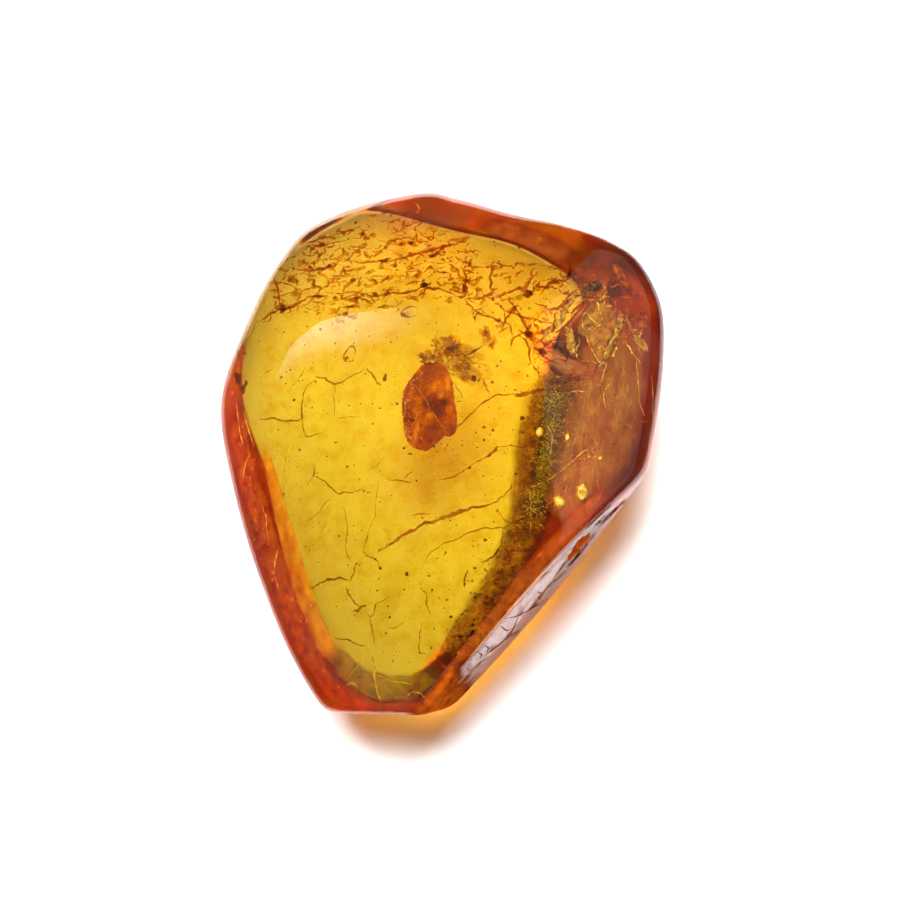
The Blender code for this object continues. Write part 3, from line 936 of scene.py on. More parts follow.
def sight_into_stone():
    """A function that gives the place, in mm, at a depth below a plan point, along the line of
    sight as the amber's surface bends it.  A depth below zero counts back from the far side."""
    tree = BVHTree.FromObject(bpy.data.objects["amber_stone"], bpy.context.evaluated_depsgraph_get())
    eye, middle = camera_place(), Vector(CAMERA_TARGET) * MM
    back = (eye - middle).normalized()
    right = Vector((1, 0, 0))
    up = back.cross(right)

    def place(u, v, depth):
        across, along = (u - PLAN_SIDE / 2) * PLAN_UNIT, (PLAN_SIDE / 2 - v) * PLAN_UNIT
        line = (middle + (right * across + up * along) * MM - eye).normalized()
        hit, normal, _, _ = tree.ray_cast(eye, line)
        if hit is None:
            raise ValueError(f"the plan point {u}, {v} lies off the stone")
        ratio = 1 / AMBER_IOR
        level = -normal.dot(line)
        bent = line * ratio + normal * (ratio * level - math.sqrt(1 - ratio ** 2 * (1 - level ** 2)))
        if depth < 0:
            depth += tree.ray_cast(hit + bent * 0.2 * MM, bent)[3] / MM + 0.2
        return np.array(hit / MM + bent * depth)

    return place


def inside_plan(outline, u, v):
    """Whether a plan point lies inside an outline of plan points."""
    within = False
    for (au, av), (bu, bv) in zip(outline, (*outline[1:], outline[0])):
        if (av > v) != (bv > v) and u < (bu - au) * (v - av) / (bv - av) + au:
            within = not within
    return within


def reach_of(spots, u, v):
    """How far a plan point lies within the soft spots, from 0 to 1."""
    total = 0.0
    for (middle_u, middle_v), (across, along) in spots:
        total += math.exp(-((u - middle_u) / across) ** 2 - ((v - middle_v) / along) ** 2)
    return min(1.0, total)


def turned(middle, across, along, tilt):
    """The plan point so far across and along from a middle, on axes turned by `tilt` degrees."""
    lean = math.radians(tilt)
    u = middle[0] + across * math.cos(lean) - along * math.sin(lean)
    v = middle[1] + across * math.sin(lean) + along * math.cos(lean)
    return u, v


def open_curve(points, steps):
    """A smooth open curve through the points, with so many steps a span."""
    points = np.array(points, float)
    ends = np.concatenate([[2 * points[0] - points[1]], points, [2 * points[-1] - points[-2]]])
    curve = curve_through(ends, steps)
    # The closed curve's span k runs from point k, so the open part starts at the second point.
    return np.concatenate([curve[steps:steps * len(points)], points[-1:]])


def ramp(values, start, reach):
    """From 0 at `start` to 1 so far past it, or so far before it where the reach is negative."""
    return np.clip((values - start) / reach, 0, 1)


def ring_faces(rings, around, first):
    """The four-sided faces between closed rings of points that follow each other from `first`."""
    faces = []
    for ring in range(rings - 1):
        for spoke in range(around):
            a = first + ring * around + spoke
            b = first + ring * around + (spoke + 1) % around
            faces.append((a, b, b + around, a + around))
    return faces


def closed_faces(rings, around):
    """The faces of a closed body: points 0 and 1 are its ends, with rings of points between."""
    faces = ring_faces(rings, around, 2)
    last = 2 + (rings - 1) * around
    for k in range(around):
        ahead = (k + 1) % around
        faces.append((0, 2 + ahead, 2 + k))
        faces.append((1, last + k, last + ahead))
    return faces


def paint(mesh, name, values):
    """Gives each of the mesh's points a value, which its material reads by name."""
    layer = mesh.attributes.new(name, "FLOAT", "POINT")
    layer.data.foreach_set("value", np.asarray(values, np.float32))


class Joined:
    """Points, in mm, and faces of many small bodies, joined into one mesh."""

    def __init__(self):
        self.points, self.faces, self.count = [], [], 0

    def add(self, points, faces):
        """Takes in one more body."""
        self.faces += [tuple(k + self.count for k in face) for face in faces]
        self.points.append(np.asarray(points))
        self.count += len(points)

    def mesh(self, name):
        """All the bodies as one mesh."""
        mesh = bpy.data.meshes.new(name)
        mesh.from_pydata((np.concatenate(self.points) * MM).tolist(), [], self.faces)
        mesh.shade_smooth()
        return mesh


def pebble(centre, radii, seed, unevenness, subdivisions=1):
    """A closed lump about a centre, pushed in and out by noise."""
    ball = bmesh.new()
    bmesh.ops.create_icosphere(ball, subdivisions=subdivisions, radius=1)
    points = []
    for vertex in ball.verts:
        push = 1 + unevenness * noise.noise(vertex.co * 1.7 + Vector((seed * 3.1, 0, 0)))
        points.append([middle + radius * push * way for middle, radius, way in zip(centre, radii, vertex.co)])
    faces = [tuple(vertex.index for vertex in face.verts) for face in ball.faces]
    ball.free()
    return points, faces


def seen_patch(outline, middle, thickness, rings, spokes):
    """A closed cushion that fills a plan outline: plan points with their depths, and its faces."""
    edge = curve_through(np.array(outline, float) - middle, max(1, spokes // len(outline)))
    shares = np.sin(np.linspace(0, math.pi / 2, rings + 1))[1:]
    layout = [(*middle, -thickness / 2), (*middle, thickness / 2)]
    for side in (-1, 1):
        for share in (shares if side < 0 else shares[-2::-1]):
            swell = thickness / 2 * math.sqrt(1 - share ** 2)
            layout += [(middle[0] + u * share, middle[1] + v * share, side * swell) for u, v in edge]
    return layout, closed_faces(2 * rings - 1, len(edge))


def strand(path, widths, heights):
    """A closed thread along a path: pointed ends, and a four-sided section so wide and so high."""
    along = np.gradient(path, axis=0)
    side = np.cross(along, (0, 0, 1))
    side /= np.linalg.norm(side, axis=1)[:, None] + 1e-9
    down = np.cross(along, side)
    down /= np.linalg.norm(down, axis=1)[:, None] + 1e-9
    turn = np.linspace(0, 2 * math.pi, THREAD_SIDES, endpoint=False)
    inner = slice(1, -1)
    rings = (
        path[inner, None]
        + side[inner, None] * (np.cos(turn) * widths[inner, None] / 2)[..., None]
        + down[inner, None] * (np.sin(turn) * heights[inner, None] / 2)[..., None]
    )
    points = np.concatenate([path[:1], path[-1:], rings.reshape(-1, 3)])
    return points, closed_faces(len(rings), THREAD_SIDES)


def uneven(count, seed, coarse):
    """A run of values about 1 and never under 0.3, wandering over so many steps."""
    values = []
    for k in range(count):
        slow = 0.8 * noise.noise((k / coarse, seed * 7.31, 0.5))
        quick = 0.7 * noise.noise((k / 1.3, seed * 3.7, 4))
        values.append(max(0.3, 1 + slow + quick))
    return np.array(values)


def crack(path, width, height, seed, wander=1.0):
    """A crack along a path: a thin blade standing in the amber, wandering, thickest part way."""
    count = len(path)
    t = np.linspace(0, 1, count)
    taper = np.sin(math.pi * np.clip(t, 0.02, 0.98)) ** 0.45
    shift = np.array([
        (noise.noise((k / 5, seed, 0)), noise.noise((k / 5, seed, 9)), 0.6 * noise.noise((k / 4, seed, 4)))
        for k in range(count)
    ])
    jag = np.array([
        (noise.noise((k / 1.6, seed, 21)), noise.noise((k / 1.6, seed, 33)), 0) for k in range(count)
    ])
    body = path + wander * (shift * min(0.16, 1.1 * width + 0.03) + jag * min(0.09, 0.3 * width + 0.03))
    return strand(body, width * taper * uneven(count, seed, 3), height * taper)


def threads(runs, width_share, seed, wander=1.0):
    """Cracks along their plan runs, joined."""
    place = sight_into_stone()
    gathered = Joined()
    for k, (width, depth, height, plan) in enumerate(runs):
        path = open_curve([place(u, v, depth) for u, v in plan], 9)
        gathered.add(*crack(path, width * width_share, height, seed + k, wander=wander))
    return gathered


def cell_walls(seeds, stretch):
    """The walls of the cells round the seed points (each a plan point), as pairs of ends, with the
    cells drawn out along the plan by `stretch`."""
    flat = [Vector((u, v * stretch)) for u, v in seeds]
    points, _, triangles, *_ = delaunay_2d_cdt(flat, [], [], 0, 0.001)
    centres, sharing = [], {}
    for k, triangle in enumerate(triangles):
        (ax, ay), (bx, by), (cx, cy) = (points[corner] for corner in triangle)
        area = 2 * (ax * (by - cy) + bx * (cy - ay) + cx * (ay - by))
        a, b, c = ax * ax + ay * ay, bx * bx + by * by, cx * cx + cy * cy
        centres.append((
            (a * (by - cy) + b * (cy - ay) + c * (ay - by)) / area,
            (a * (cx - bx) + b * (ax - cx) + c * (bx - ax)) / area / stretch,
        ))
        for one, other in zip(triangle, (*triangle[1:], triangle[0])):
            sharing.setdefault(frozenset((one, other)), []).append(k)
    return [(centres[pair[0]], centres[pair[1]]) for pair in sharing.values() if len(pair) == 2]


def crackle(place, outline, spacing, stretch, kept, widths, depths, rng):
    """A net of fine cracks inside a plan outline: the walls of scattered cells, some left out."""
    us, vs = zip(*outline)
    left, right, top, bottom = min(us), max(us), min(vs), max(vs)
    count = int((right - left) * (bottom - top) / spacing ** 2 * stretch)
    beside, beyond = CRACKLE_MARGIN
    seeds = [
        (rng.uniform(left - beside, right + beside), rng.uniform(top - beyond, bottom + beyond))
        for _ in range(count)
    ]
    net = Joined()
    for start, end in cell_walls(seeds, stretch):
        if rng.random() > kept or not (inside_plan(outline, *start) and inside_plan(outline, *end)):
            continue
        length = math.dist(start, end)
        if length > 3.5 * spacing:
            continue
        depth = rng.uniform(*depths)
        steps = max(4, int(length / 2.5))
        wander = 2.2 * min(1, length / 12)
        path = []
        for k in range(steps + 1):
            t = k / steps
            u = start[0] + (end[0] - start[0]) * t + wander * noise.noise((start[0] / 9, start[1] / 9, 5 * t))
            v = start[1] + (end[1] - start[1]) * t + wander * noise.noise((start[0] / 9, 5 * t, end[1] / 9))
            path.append(place(u, v, depth))
        width = rng.uniform(*widths)
        net.add(*crack(np.array(path), width, 1.6 * width, rng.randrange(999)))
    return net


def clump(gathered, place, spot, depth, size, count, rng):
    """Lumps heaped over a plan spot."""
    (middle_u, middle_v), (across, along) = spot
    for _ in range(count):
        turn, out = rng.uniform(0, 2 * math.pi), math.sqrt(rng.random())
        u, v = middle_u + across * out * math.cos(turn), middle_v + along * out * math.sin(turn)
        radii = [size * rng.uniform(0.5, 1.3) for _ in range(3)]
        gathered.add(*pebble(place(u, v, depth + rng.uniform(-0.5, 0.5)), radii, rng.random() * 99, 0.9, 2))


def piece(name, mesh, material):
    """Puts a finished mesh in the scene, riding on the stone's body."""
    mesh.materials.append(material)
    obj = bpy.data.objects.new(name, mesh)
    bpy.context.scene.collection.objects.link(obj)
    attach(obj, BODY)
    return obj


def joined_piece(name, gathered, material):
    """Puts many small bodies in the scene as one piece."""
    return piece(name, gathered.mesh(name), material)


def cloud_strip(name, place, middles, depth, material):
    """A cloudy sheet in the amber along plan middles with half widths, thinning out all round."""
    line = open_curve([(*middle, half) for middle, half in middles], 9)
    ways = np.gradient(line[:, :2], axis=0)
    ways /= np.linalg.norm(ways, axis=1)[:, None]
    columns = np.linspace(-1.2, 1.2, 21)
    points, cover = [], []
    for k, ((u, v, half), (du, dv)) in enumerate(zip(line, ways)):
        ends = min(1, k / 8, (len(line) - 1 - k) / 8)
        for column in columns:
            wobble = column + 0.16 * noise.noise((k / 5, column * 2, 3))
            points.append(place(u - dv * half * wobble, v + du * half * wobble, depth))
            cover.append(max(0, min(1, (1.2 - abs(column)) / 0.5)) * ends)
    count = len(columns)
    faces = [
        (row * count + k, row * count + k + 1, (row + 1) * count + k + 1, (row + 1) * count + k)
        for row in range(len(line) - 1) for k in range(count - 1)
    ]
    sheet = Joined()
    sheet.add(points, faces)
    mesh = sheet.mesh(name)
    paint(mesh, "cover", cover)
    return piece(name, mesh, material)


# ---------------------------------------------------------------------------------------------
# Pieces
# ---------------------------------------------------------------------------------------------
class AMBER_OT_stone(bpy.types.Operator):
    """Builds the visible stone in place of the plain solid"""

    bl_idname = "amber.stone"
    bl_label = "Stone"

    def execute(self, context):
        settings = context.scene.amber_stone
        rings = guide_rings(settings.spokes)
        poles = np.array([(*AXIS, 0.0), (*AXIS, 2 * GIRDLE_HEIGHT)])
        points = onto_stone(np.concatenate([poles, *rings])) * MM
        mesh = bpy.data.meshes.new("amber_stone")
        mesh.from_pydata(points.tolist(), [], closed_faces(len(rings), settings.spokes))
        mesh.shade_smooth()
        normals = np.array([normal.vector for normal in mesh.vertex_normals])
        for point, normal in zip(points, normals):
            place = Vector(point) / MM
            wave = noise.noise(place / LONG_WAVE) + 0.3 * noise.noise(place / SHORT_WAVE)
            point += normal * (wave * settings.waviness * MM * min(1.0, place.z / 0.8))
        mesh.vertices.foreach_set("co", points.ravel())
        paint(mesh, "rind", ramp(normals[:, 2], 0.05, -0.4) * (points[:, 2] > 0.01 * MM))
        mesh.update()
        stone = piece("amber_stone", mesh, amber_polished())
        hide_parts("amber")
        return {"FINISHED"}


def rind_cover(points):
    """How much of the rind is left at each point (in mm), and how dark it is: all of it on the
    bevels and the side wall, less and less over the girdle, and further up round the back."""
    x, y, z = points.T
    back = ramp(y, 6, 8) * ramp(x, -7, 6)
    corner = ramp(x, 1, 3) * ramp(y, 8, 3)
    girdle = ramp(z, 8.0 + 2.5 * back + 2.5 * corner, -2)
    point, compass, above, _ = FACES["side_wall"]
    to_wall = (points + (*MIDDLE, 0) - point) @ facing(compass, above)
    wall = ramp(to_wall, -0.9, 0.5)
    right = ramp(x, 3, 4) * (1 - wall)
    right *= ramp(y, 12, -4) * ramp(y, -6, 4)
    rim = ramp(z, 2.5, 2)
    outer = ramp(x, 10, 3) * rim
    top = ramp(x, 1, 3) * ramp(y, 10, 3) * 0.5 * rim
    cover = np.maximum(girdle, wall) * ramp(z, 0, 0.3)
    dark = np.maximum(wall, np.maximum(0.8 * outer, top))
    return cover * (1 - 0.6 * right * (1 - rim)) * (1 - 0.05 * back), dark


class AMBER_OT_rind(bpy.types.Operator):
    """Builds the weathered skin just inside the bevels and the girdle"""

    bl_idname = "amber.rind"
    bl_label = "Weathered rind"

    def execute(self, context):
        settings = context.scene.amber_stone
        stone = bpy.data.objects["amber_stone"].data
        spokes = settings.spokes
        first, last = BASE_RINGS - 1, BASE_RINGS - 1 + BEVEL_RINGS + RIND_OVER_DOME
        rows = range(first, last)
        picked = [2 + ring * spokes + spoke for ring in rows for spoke in range(spokes)]
        points = [
            stone.vertices[k].co - stone.vertex_normals[k].vector * (settings.rind_depth * MM) for k in picked
        ]
        cover, dark = rind_cover(np.array(points) / MM)
        mesh = bpy.data.meshes.new("weathered_rind")
        mesh.from_pydata(points, [], ring_faces(len(rows), spokes, 0))
        mesh.shade_smooth()
        paint(mesh, "cover", cover)
        paint(mesh, "dark", dark)
        piece("weathered_rind", mesh, rind_weathered())
        return {"FINISHED"}


class AMBER_OT_crust(bpy.types.Operator):
    """Leaves a patch of matt crust at the side wall's narrow end"""

    bl_idname = "amber.crust"
    bl_label = "Crust at the corner"

    def execute(self, context):
        stone = bpy.data.objects["amber_stone"].data
        point, compass, above, _ = FACES["side_wall"]
        out = Vector(facing(compass, above))
        along = Vector((out.y, -out.x, 0))

        def left_at(place):
            """How much crust is left at a place, from 0 to 1."""
            to_wall = (place + Vector((*MIDDLE, 0)) - Vector(point)).dot(out)
            reach = (place - Vector(CRUST_FROM)).dot(along) + 0.26 * (CRUST_FROM[2] - place.z)
            reach += 1.3 * noise.noise(place * 0.7) + 0.6 * noise.noise(place * 2.3)
            edges = (reach / 1.3, (to_wall + 1.2) / 0.8, (place.z - 2.0) / 1.6, (10.0 - place.z) / 0.6)
            return max(0.0, min(1.0, *edges))

        picked, faces = {}, []
        for polygon in stone.polygons:
            if left_at(polygon.center / MM + along * 1.2) > 0:
                faces.append([picked.setdefault(k, len(picked)) for k in polygon.vertices])
        points = [
            stone.vertices[k].co + stone.vertex_normals[k].vector * (CRUST_LIES * MM) for k in picked
        ]
        mesh = bpy.data.meshes.new("corner_crust")
        mesh.from_pydata(points, [], faces)
        mesh.shade_smooth()
        cover = [left_at(place / MM) for place in points]
        paint(mesh, "cover", cover)
        piece("corner_crust", mesh, cloudy_amber("crust_matt", "#B05410", "#7C2C06", 0.9, 0.8))
        return {"FINISHED"}


class AMBER_OT_cracks(bpy.types.Operator):
    """Opens the single brown cracks"""

    bl_idname = "amber.cracks"
    bl_label = "Brown cracks"

    def execute(self, context):
        settings = context.scene.amber_cracks
        gathered = threads(CRACKS, settings.width, settings.seed)
        joined_piece("cracks_brown", gathered, film_stained("crack_stain", "#CC9C5C", "#A06C34"))
        return {"FINISHED"}


def brown_smears(place, rng):
    """Short bowed smears between the lines of the crackle, joined."""
    smears = Joined()
    for region, count in CRACKLE_SMEARS:
        us, vs = zip(*region)
        for k in range(count):
            u, v = rng.uniform(min(us), max(us)), rng.uniform(min(vs), max(vs))
            if not inside_plan(region, u, v):
                continue
            lean, reach = rng.gauss(-0.25, 0.55), rng.uniform(2.5, 7.0)
            step = np.array((math.cos(lean), math.sin(lean))) * reach
            bow = np.array((step[1], -step[0])) * rng.uniform(-0.5, 0.5)
            depth = rng.uniform(0.8, 1.6)
            path = [place(*((u, v) + step * t + bow * (1 - t * t)), depth) for t in np.linspace(-1, 1, 9)]
            smears.add(*crack(np.array(path), rng.uniform(0.10, 0.34), 0.06, k, wander=1.6))
    return smears


class AMBER_OT_crackle(bpy.types.Operator):
    """Opens the rusty veins, the nets of fine cracks and the brown smears between them"""

    bl_idname = "amber.crackle"
    bl_label = "Crackle"

    def execute(self, context):
        settings = context.scene.amber_cracks
        rng = random.Random(settings.seed)
        place = sight_into_stone()
        veins = threads(VEINS, settings.width, settings.seed)
        joined_piece("veins_rusty", veins, film_stained("vein_stain", "#D88C50", "#B06024"))
        finishes = {
            "crackle_fine": film_stained("crackle_stain", "#DCA064", "#B87038"),
            "crackle_coarse": film_stained("crackle_rust", "#D89054", "#B06424"),
            "crackle_rusty": film_stained("crackle_red", "#F0A868", "#D0783C"),
            # The lit net and the slope's net are opaque; their bright tones are painted gleam of the light
            # the fractures mirror.
            "crackle_lit": fracture_lit("fracture_painted_gleam", "#9C5C18", "#FFE058"),
            "crackle_slope": fracture_lit("slope_lit", "#84441C", "#D89050"),
        }
        for name, net in CRACKLE_NETS.items():
            joined_piece(name, crackle(place, *net, rng), finishes[name])
        smeared = film_stained("smear_brown", "#ECCC94", "#D09C5C", 0.3)
        joined_piece("crackle_smears", brown_smears(place, rng), smeared)
        return {"FINISHED"}


class AMBER_OT_flakes(bpy.types.Operator):
    """Lays in the curved flakes of fracture under the right slope"""

    bl_idname = "amber.flakes"
    bl_label = "Fracture flakes"

    def execute(self, context):
        place = sight_into_stone()
        for sort, (light, dark, most) in FLAKE_TONES.items():
            least = 0 if sort in ("rusty", "olive") else 0.55
            gathered, cover = Joined(), []
            for seed, (kind, depth, outline) in enumerate(FLAKES):
                if kind != sort:
                    continue
                middle = np.mean(np.array(outline, float), axis=0)
                layout, faces = seen_patch(outline, tuple(middle), 0.12, 9, 72)
                points = []
                for u, v, rise in layout:
                    ripple = 0.35 * noise.noise((u / 9, v / 9, seed))
                    ripple += 0.2 * noise.noise((u / 2.5, v / 2.5, seed))
                    across = 3.0 * noise.noise((u / 2.6, v / 2.6, seed + 40))
                    along = 3.0 * noise.noise((u / 2.6, v / 2.6, seed + 80))
                    points.append(place(u + across, v + along, depth + rise + ripple))
                    cover.append(min(1, least + abs(rise) / 0.06 * 0.7))
                gathered.add(points, faces)
            mesh = gathered.mesh("flakes_" + sort)
            paint(mesh, "cover", cover)
            piece("flakes_" + sort, mesh, cloudy_amber("flake_" + sort, light, dark, 0.4, most))
        return {"FINISHED"}


class AMBER_OT_gold(bpy.types.Operator):
    """Lays in the fracture edges and the bubbles, their bright colours painted gleam"""

    bl_idname = "amber.gold"
    bl_label = "Gold threads and bubbles"

    def execute(self, context):
        settings = context.scene.amber_cracks
        gathered = threads(GLEAMING_EDGES, 0.6 * settings.width, settings.seed)
        place = sight_into_stone()
        joined_piece("gleaming_edges", gathered, fracture_lit("fracture_painted_gleam", "#9C5C18", "#FFE058"))
        # The bubbles are opaque; their bright yellow is a painted gleam of the light they mirror.
        bubbles = Joined()
        for seed, (across, along, depth, plan) in enumerate(BUBBLES):
            bubbles.add(*pebble(place(*plan, depth), (across, along, 0.4 * across), seed, 0.35, 3))
        joined_piece("bubbles", bubbles, fracture_lit("bubble_lit", "#B07820", "#FFE468"))
        return {"FINISHED"}


def wall_sheen(place, out):
    """A pale sheet on the side wall, painted sheen over what it really mirrors, patchy and thin at its edge.
    """
    layout, faces = seen_patch(WALL_SHEEN, SHEEN_MIDDLE, 0.1, 12, 120)
    sheen_patch, cover = Joined(), []
    sheen_patch.add([place(u, v, 0) + out * SHEEN_LIES for u, v, _ in layout], faces)
    for u, v, rise in layout:
        patchy = 1 + 0.9 * noise.noise((u / 7, v / 7, 3))
        cover.append(max(0, min(1, abs(rise) / 0.04 * patchy)))
    mesh = sheen_patch.mesh("wall_sheen")
    paint(mesh, "cover", cover)
    # Its pale colour is painted sheen.
    piece("wall_sheen", mesh, cloudy_amber("painted_sheen_pale", "#FFF6F4", "#E8D4D0", 0.3, 0.4))


def wall_chip(place, out):
    """The small stained chip in the side wall, with an uneven edge."""
    layout, faces = seen_patch(WALL_CHIP, CHIP_MIDDLE, 0.12, 8, 64)
    points = []
    for u, v, rise in layout:
        uneven_edge = 1.2 * noise.noise((u / 3, v / 3, 2))
        points.append(place(u + uneven_edge, v + uneven_edge, 0) + out * (CHIP_LIES - min(0.0, rise)))
    chip = Joined()
    chip.add(points, faces)
    joined_piece("wall_chip", chip, fracture_lit("chip_stained", "#742808", "#B85014"))


class AMBER_OT_wall_cracks(bpy.types.Operator):
    """Opens the cracks and the chip in the flat side wall, and lays a pale painted sheen on it"""

    bl_idname = "amber.wall_cracks"
    bl_label = "Side wall cracks"

    def execute(self, context):
        gathered = threads(WALL_CRACKS, 0.8, 80, wander=0.4)
        out = facing(*FACES["side_wall"][1:3])
        gathered.points = [points + out * CRACKS_LIE for points in gathered.points]
        joined_piece("wall_cracks", gathered, fracture_lit("wall_crack_dark", "#482014", "#744030"))
        place = sight_into_stone()
        wall_sheen(place, out)
        wall_chip(place, out)
        return {"FINISHED"}


def insect_body(place):
    """The insect's body: a crumpled cushion, torn along its left edge."""
    layout, faces = seen_patch(INSECT_OUTLINE, INSECT_MIDDLE, INSECT_THICKNESS, 20, 216)
    points = []
    for u, v, rise in layout:
        crease = 0.16 * noise.noise((u / 7, v / 11, 1)) + 0.06 * noise.noise((u / 2.5, v / 2.5, 2))
        torn = 2.2 if u < INSECT_TORN_BEFORE else 1.0
        ragged = torn * noise.noise((u / 1.5, v / 1.5, 5)), torn * noise.noise((u / 1.5, v / 1.5, 15))
        points.append(place(u + ragged[0], v + ragged[1], INSECT_DEPTH + rise + crease))
    body = Joined()
    body.add(points, faces)
    mesh = body.mesh("insect_body")
    for name, spots in (("dark", INSECT_DARK), ("pale", INSECT_PALE)):
        paint(mesh, name, [reach_of(spots, u, v) for u, v, _ in layout])
    piece("insect_body", mesh, cuticle_translucent())


def insect_gut(place):
    """What shows dark through its skin: patchy clouds in the middle of the body."""
    organs, cover = Joined(), []
    for seed, spot in enumerate(INSECT_DARK[:ORGANS]):
        (middle_u, middle_v), (across, along) = spot
        turns = np.linspace(0, 2 * math.pi, 12, endpoint=False)
        outline = [
            (middle_u + 1.5 * across * math.cos(t), middle_v + 1.5 * along * math.sin(t)) for t in turns
        ]
        layout, faces = seen_patch(outline, (middle_u, middle_v), 0.3, 8, 48)
        points = []
        for u, v, rise in layout:
            ragged = noise.noise((u / 2, v / 2, seed)), noise.noise((v / 2, u / 2, seed))
            points.append(place(u + ragged[0], v + ragged[1], INSECT_DEPTH + rise))
            patchy = 0.75 + 0.8 * noise.noise((u / 1.8, v / 1.8, seed))
            cover.append(max(0, min(1, min(1.0, reach_of([spot], u, v) * 1.2) * patchy)))
        organs.add(points, faces)
    mesh = organs.mesh("insect_gut")
    paint(mesh, "cover", cover)
    piece("insect_gut", mesh, film_stained("gut_dark", "#B08850", "#7C5420", 0.3, fading=True))


def insect_glints(place, rng):
    """Grains of light on its skin, most of them by the torn left edge, joined."""
    glints = Joined()
    straight_from, straight_to = INSECT_EDGE_STRAIGHT
    for _ in range(INSECT_GLINTS):
        v = rng.uniform(*INSECT_GLINT_ROWS)
        edge = INSECT_EDGE + max(0, straight_from - v) * 0.7 + max(0, v - straight_to) * 0.5
        u = edge + rng.expovariate(0.25)
        radius = rng.uniform(0.02, 0.045)
        on_skin = INSECT_DEPTH - INSECT_THICKNESS / 2 - 0.1 + 0.05 * min(8, u - INSECT_EDGE)
        glints.add(*pebble(place(u, v, on_skin), (radius, 1.8 * radius, radius), v, 0.9, 1))
    return glints


def insect_head(place, rng):
    """Its crumpled head, and the clumps that cling to it, joined."""
    head = Joined()
    clump(head, place, INSECT_HEAD, INSECT_DEPTH - 0.2, 0.13, 100, rng)
    for spot in INSECT_CLUMPS:
        clump(head, place, spot, INSECT_DEPTH - 0.2, 0.09, 30, rng)
    return head


class AMBER_OT_insect(bpy.types.Operator):
    """Builds the insect: its body and gut, the glints on its skin, its head, feelers and folds"""

    bl_idname = "amber.insect"
    bl_label = "Insect"

    def execute(self, context):
        rng = random.Random(context.scene.amber_insect.seed)
        place = sight_into_stone()
        insect_body(place)
        insect_gut(place)
        glints = insect_glints(place, rng)
        joined_piece("insect_glints", glints, fracture_lit("skin_glints", "#B86030", "#F0B888"))
        head = insect_head(place, rng)
        joined_piece("insect_head", head, film_stained("head_crumpled", "#F4E6C8", "#E0CC9C", 0.3))
        feelers = threads(INSECT_THREADS, 1.0, 40)
        joined_piece("insect_feelers", feelers, film_stained("feeler_brown", "#B88048", "#8A5420"))
        folds = threads(INSECT_FOLDS, 1.0, 60)
        joined_piece("insect_folds", folds, fracture_lit("fold_lit", "#A86028", "#E8A458"))
        return {"FINISHED"}


class AMBER_OT_tuft(bpy.types.Operator):
    """Fans out the tuft of fine threads behind the insect's head, and the haze round it"""

    bl_idname = "amber.tuft"
    bl_label = "Tuft"

    def execute(self, context):
        settings = context.scene.amber_insect
        rng = random.Random(settings.seed)
        place = sight_into_stone()
        tips = open_curve(FAN_TIPS, 12)
        tuft = Joined()
        for k in range(settings.tuft_threads):
            tip = tips[rng.randrange(len(tips))] + (rng.gauss(0, 2.5), rng.gauss(0, 2.5))
            root = np.array(FAN_ROOT) + (rng.gauss(3, 8), rng.gauss(-2, 8))
            bow = np.array((rng.gauss(0, 4), rng.gauss(-2, 4)))
            share = rng.uniform(0.5, 1.0)
            path = []
            for t in np.linspace(0, 1, 9):
                u, v = root + (tip - root) * t * share + bow * math.sin(math.pi * t)
                u += 1.4 * noise.noise((k * 1.7, 4 * t, 0))
                v += 1.4 * noise.noise((k * 1.7, 4 * t, 8))
                path.append(place(u, v, INSECT_DEPTH - 0.3 + 1.2 * noise.noise((k * 2.3, 1.5 * t, 3))))
            tuft.add(*crack(np.array(path), rng.uniform(0.04, 0.13), 0.05, k))
        joined_piece("insect_tuft", tuft, film_stained("tuft_downy", "#F6EED4", "#E4D6AC"))
        haze = Joined()
        for k in range(HAZE_LUMPS):
            tip = tips[rng.randrange(len(tips))]
            u, v = np.array(FAN_ROOT) + (tip - FAN_ROOT) * rng.uniform(0.2, 1.0)
            radii = (rng.uniform(0.15, 0.5), rng.uniform(0.12, 0.35), 0.10)
            haze.add(*pebble(place(u, v, INSECT_DEPTH + rng.uniform(-0.6, 0.6)), radii, k, 1.0, 2))
        joined_piece("insect_haze", haze, film_stained("down_haze", "#FBF6E6", "#F4E8CC"))
        return {"FINISHED"}


class AMBER_OT_debris(bpy.types.Operator):
    """Lays in the flake of bark and the empty husks"""

    bl_idname = "amber.debris"
    bl_label = "Debris"

    def execute(self, context):
        rng = random.Random(context.scene.amber_insect.seed + 1)
        place = sight_into_stone()
        flake = Joined()
        middle, (across, along), tilt = FLAKE
        for k in range(FLAKE_LUMPS):
            u, v = turned(middle, rng.gauss(0, 0.45) * across, rng.uniform(-1, 1) * along, tilt)
            flake.add(*pebble(place(u, v, 3.2 + 0.3 * rng.random()), (0.16, 0.22, 0.10), k, 1.2, 2))
        joined_piece("bark_flake", flake, film_stained("bark_brown", "#F8E8D0", "#E4C4A4", 0.3))
        husks = Joined()
        for seed, (middle, (across, along), tilt) in enumerate(HUSKS):
            path = []
            for turn in np.linspace(0.2, 2 * math.pi, 22):
                u, v = turned(middle, across * math.cos(turn), along * math.sin(turn), tilt)
                path.append(place(u, v, HUSK_DEPTH))
            husks.add(*crack(np.array(path), 0.13, 0.2, seed + 70))
            crumb = place(middle[0] - 0.7 * across, middle[1] + 0.5 * along, HUSK_DEPTH)
            husks.add(*pebble(crumb, (0.16, 0.12, 0.1), seed, 0.9, 2))
        joined_piece("husks", husks, film_stained("husk_brown", "#C89050", "#9A6430", 0.3))
        return {"FINISHED"}


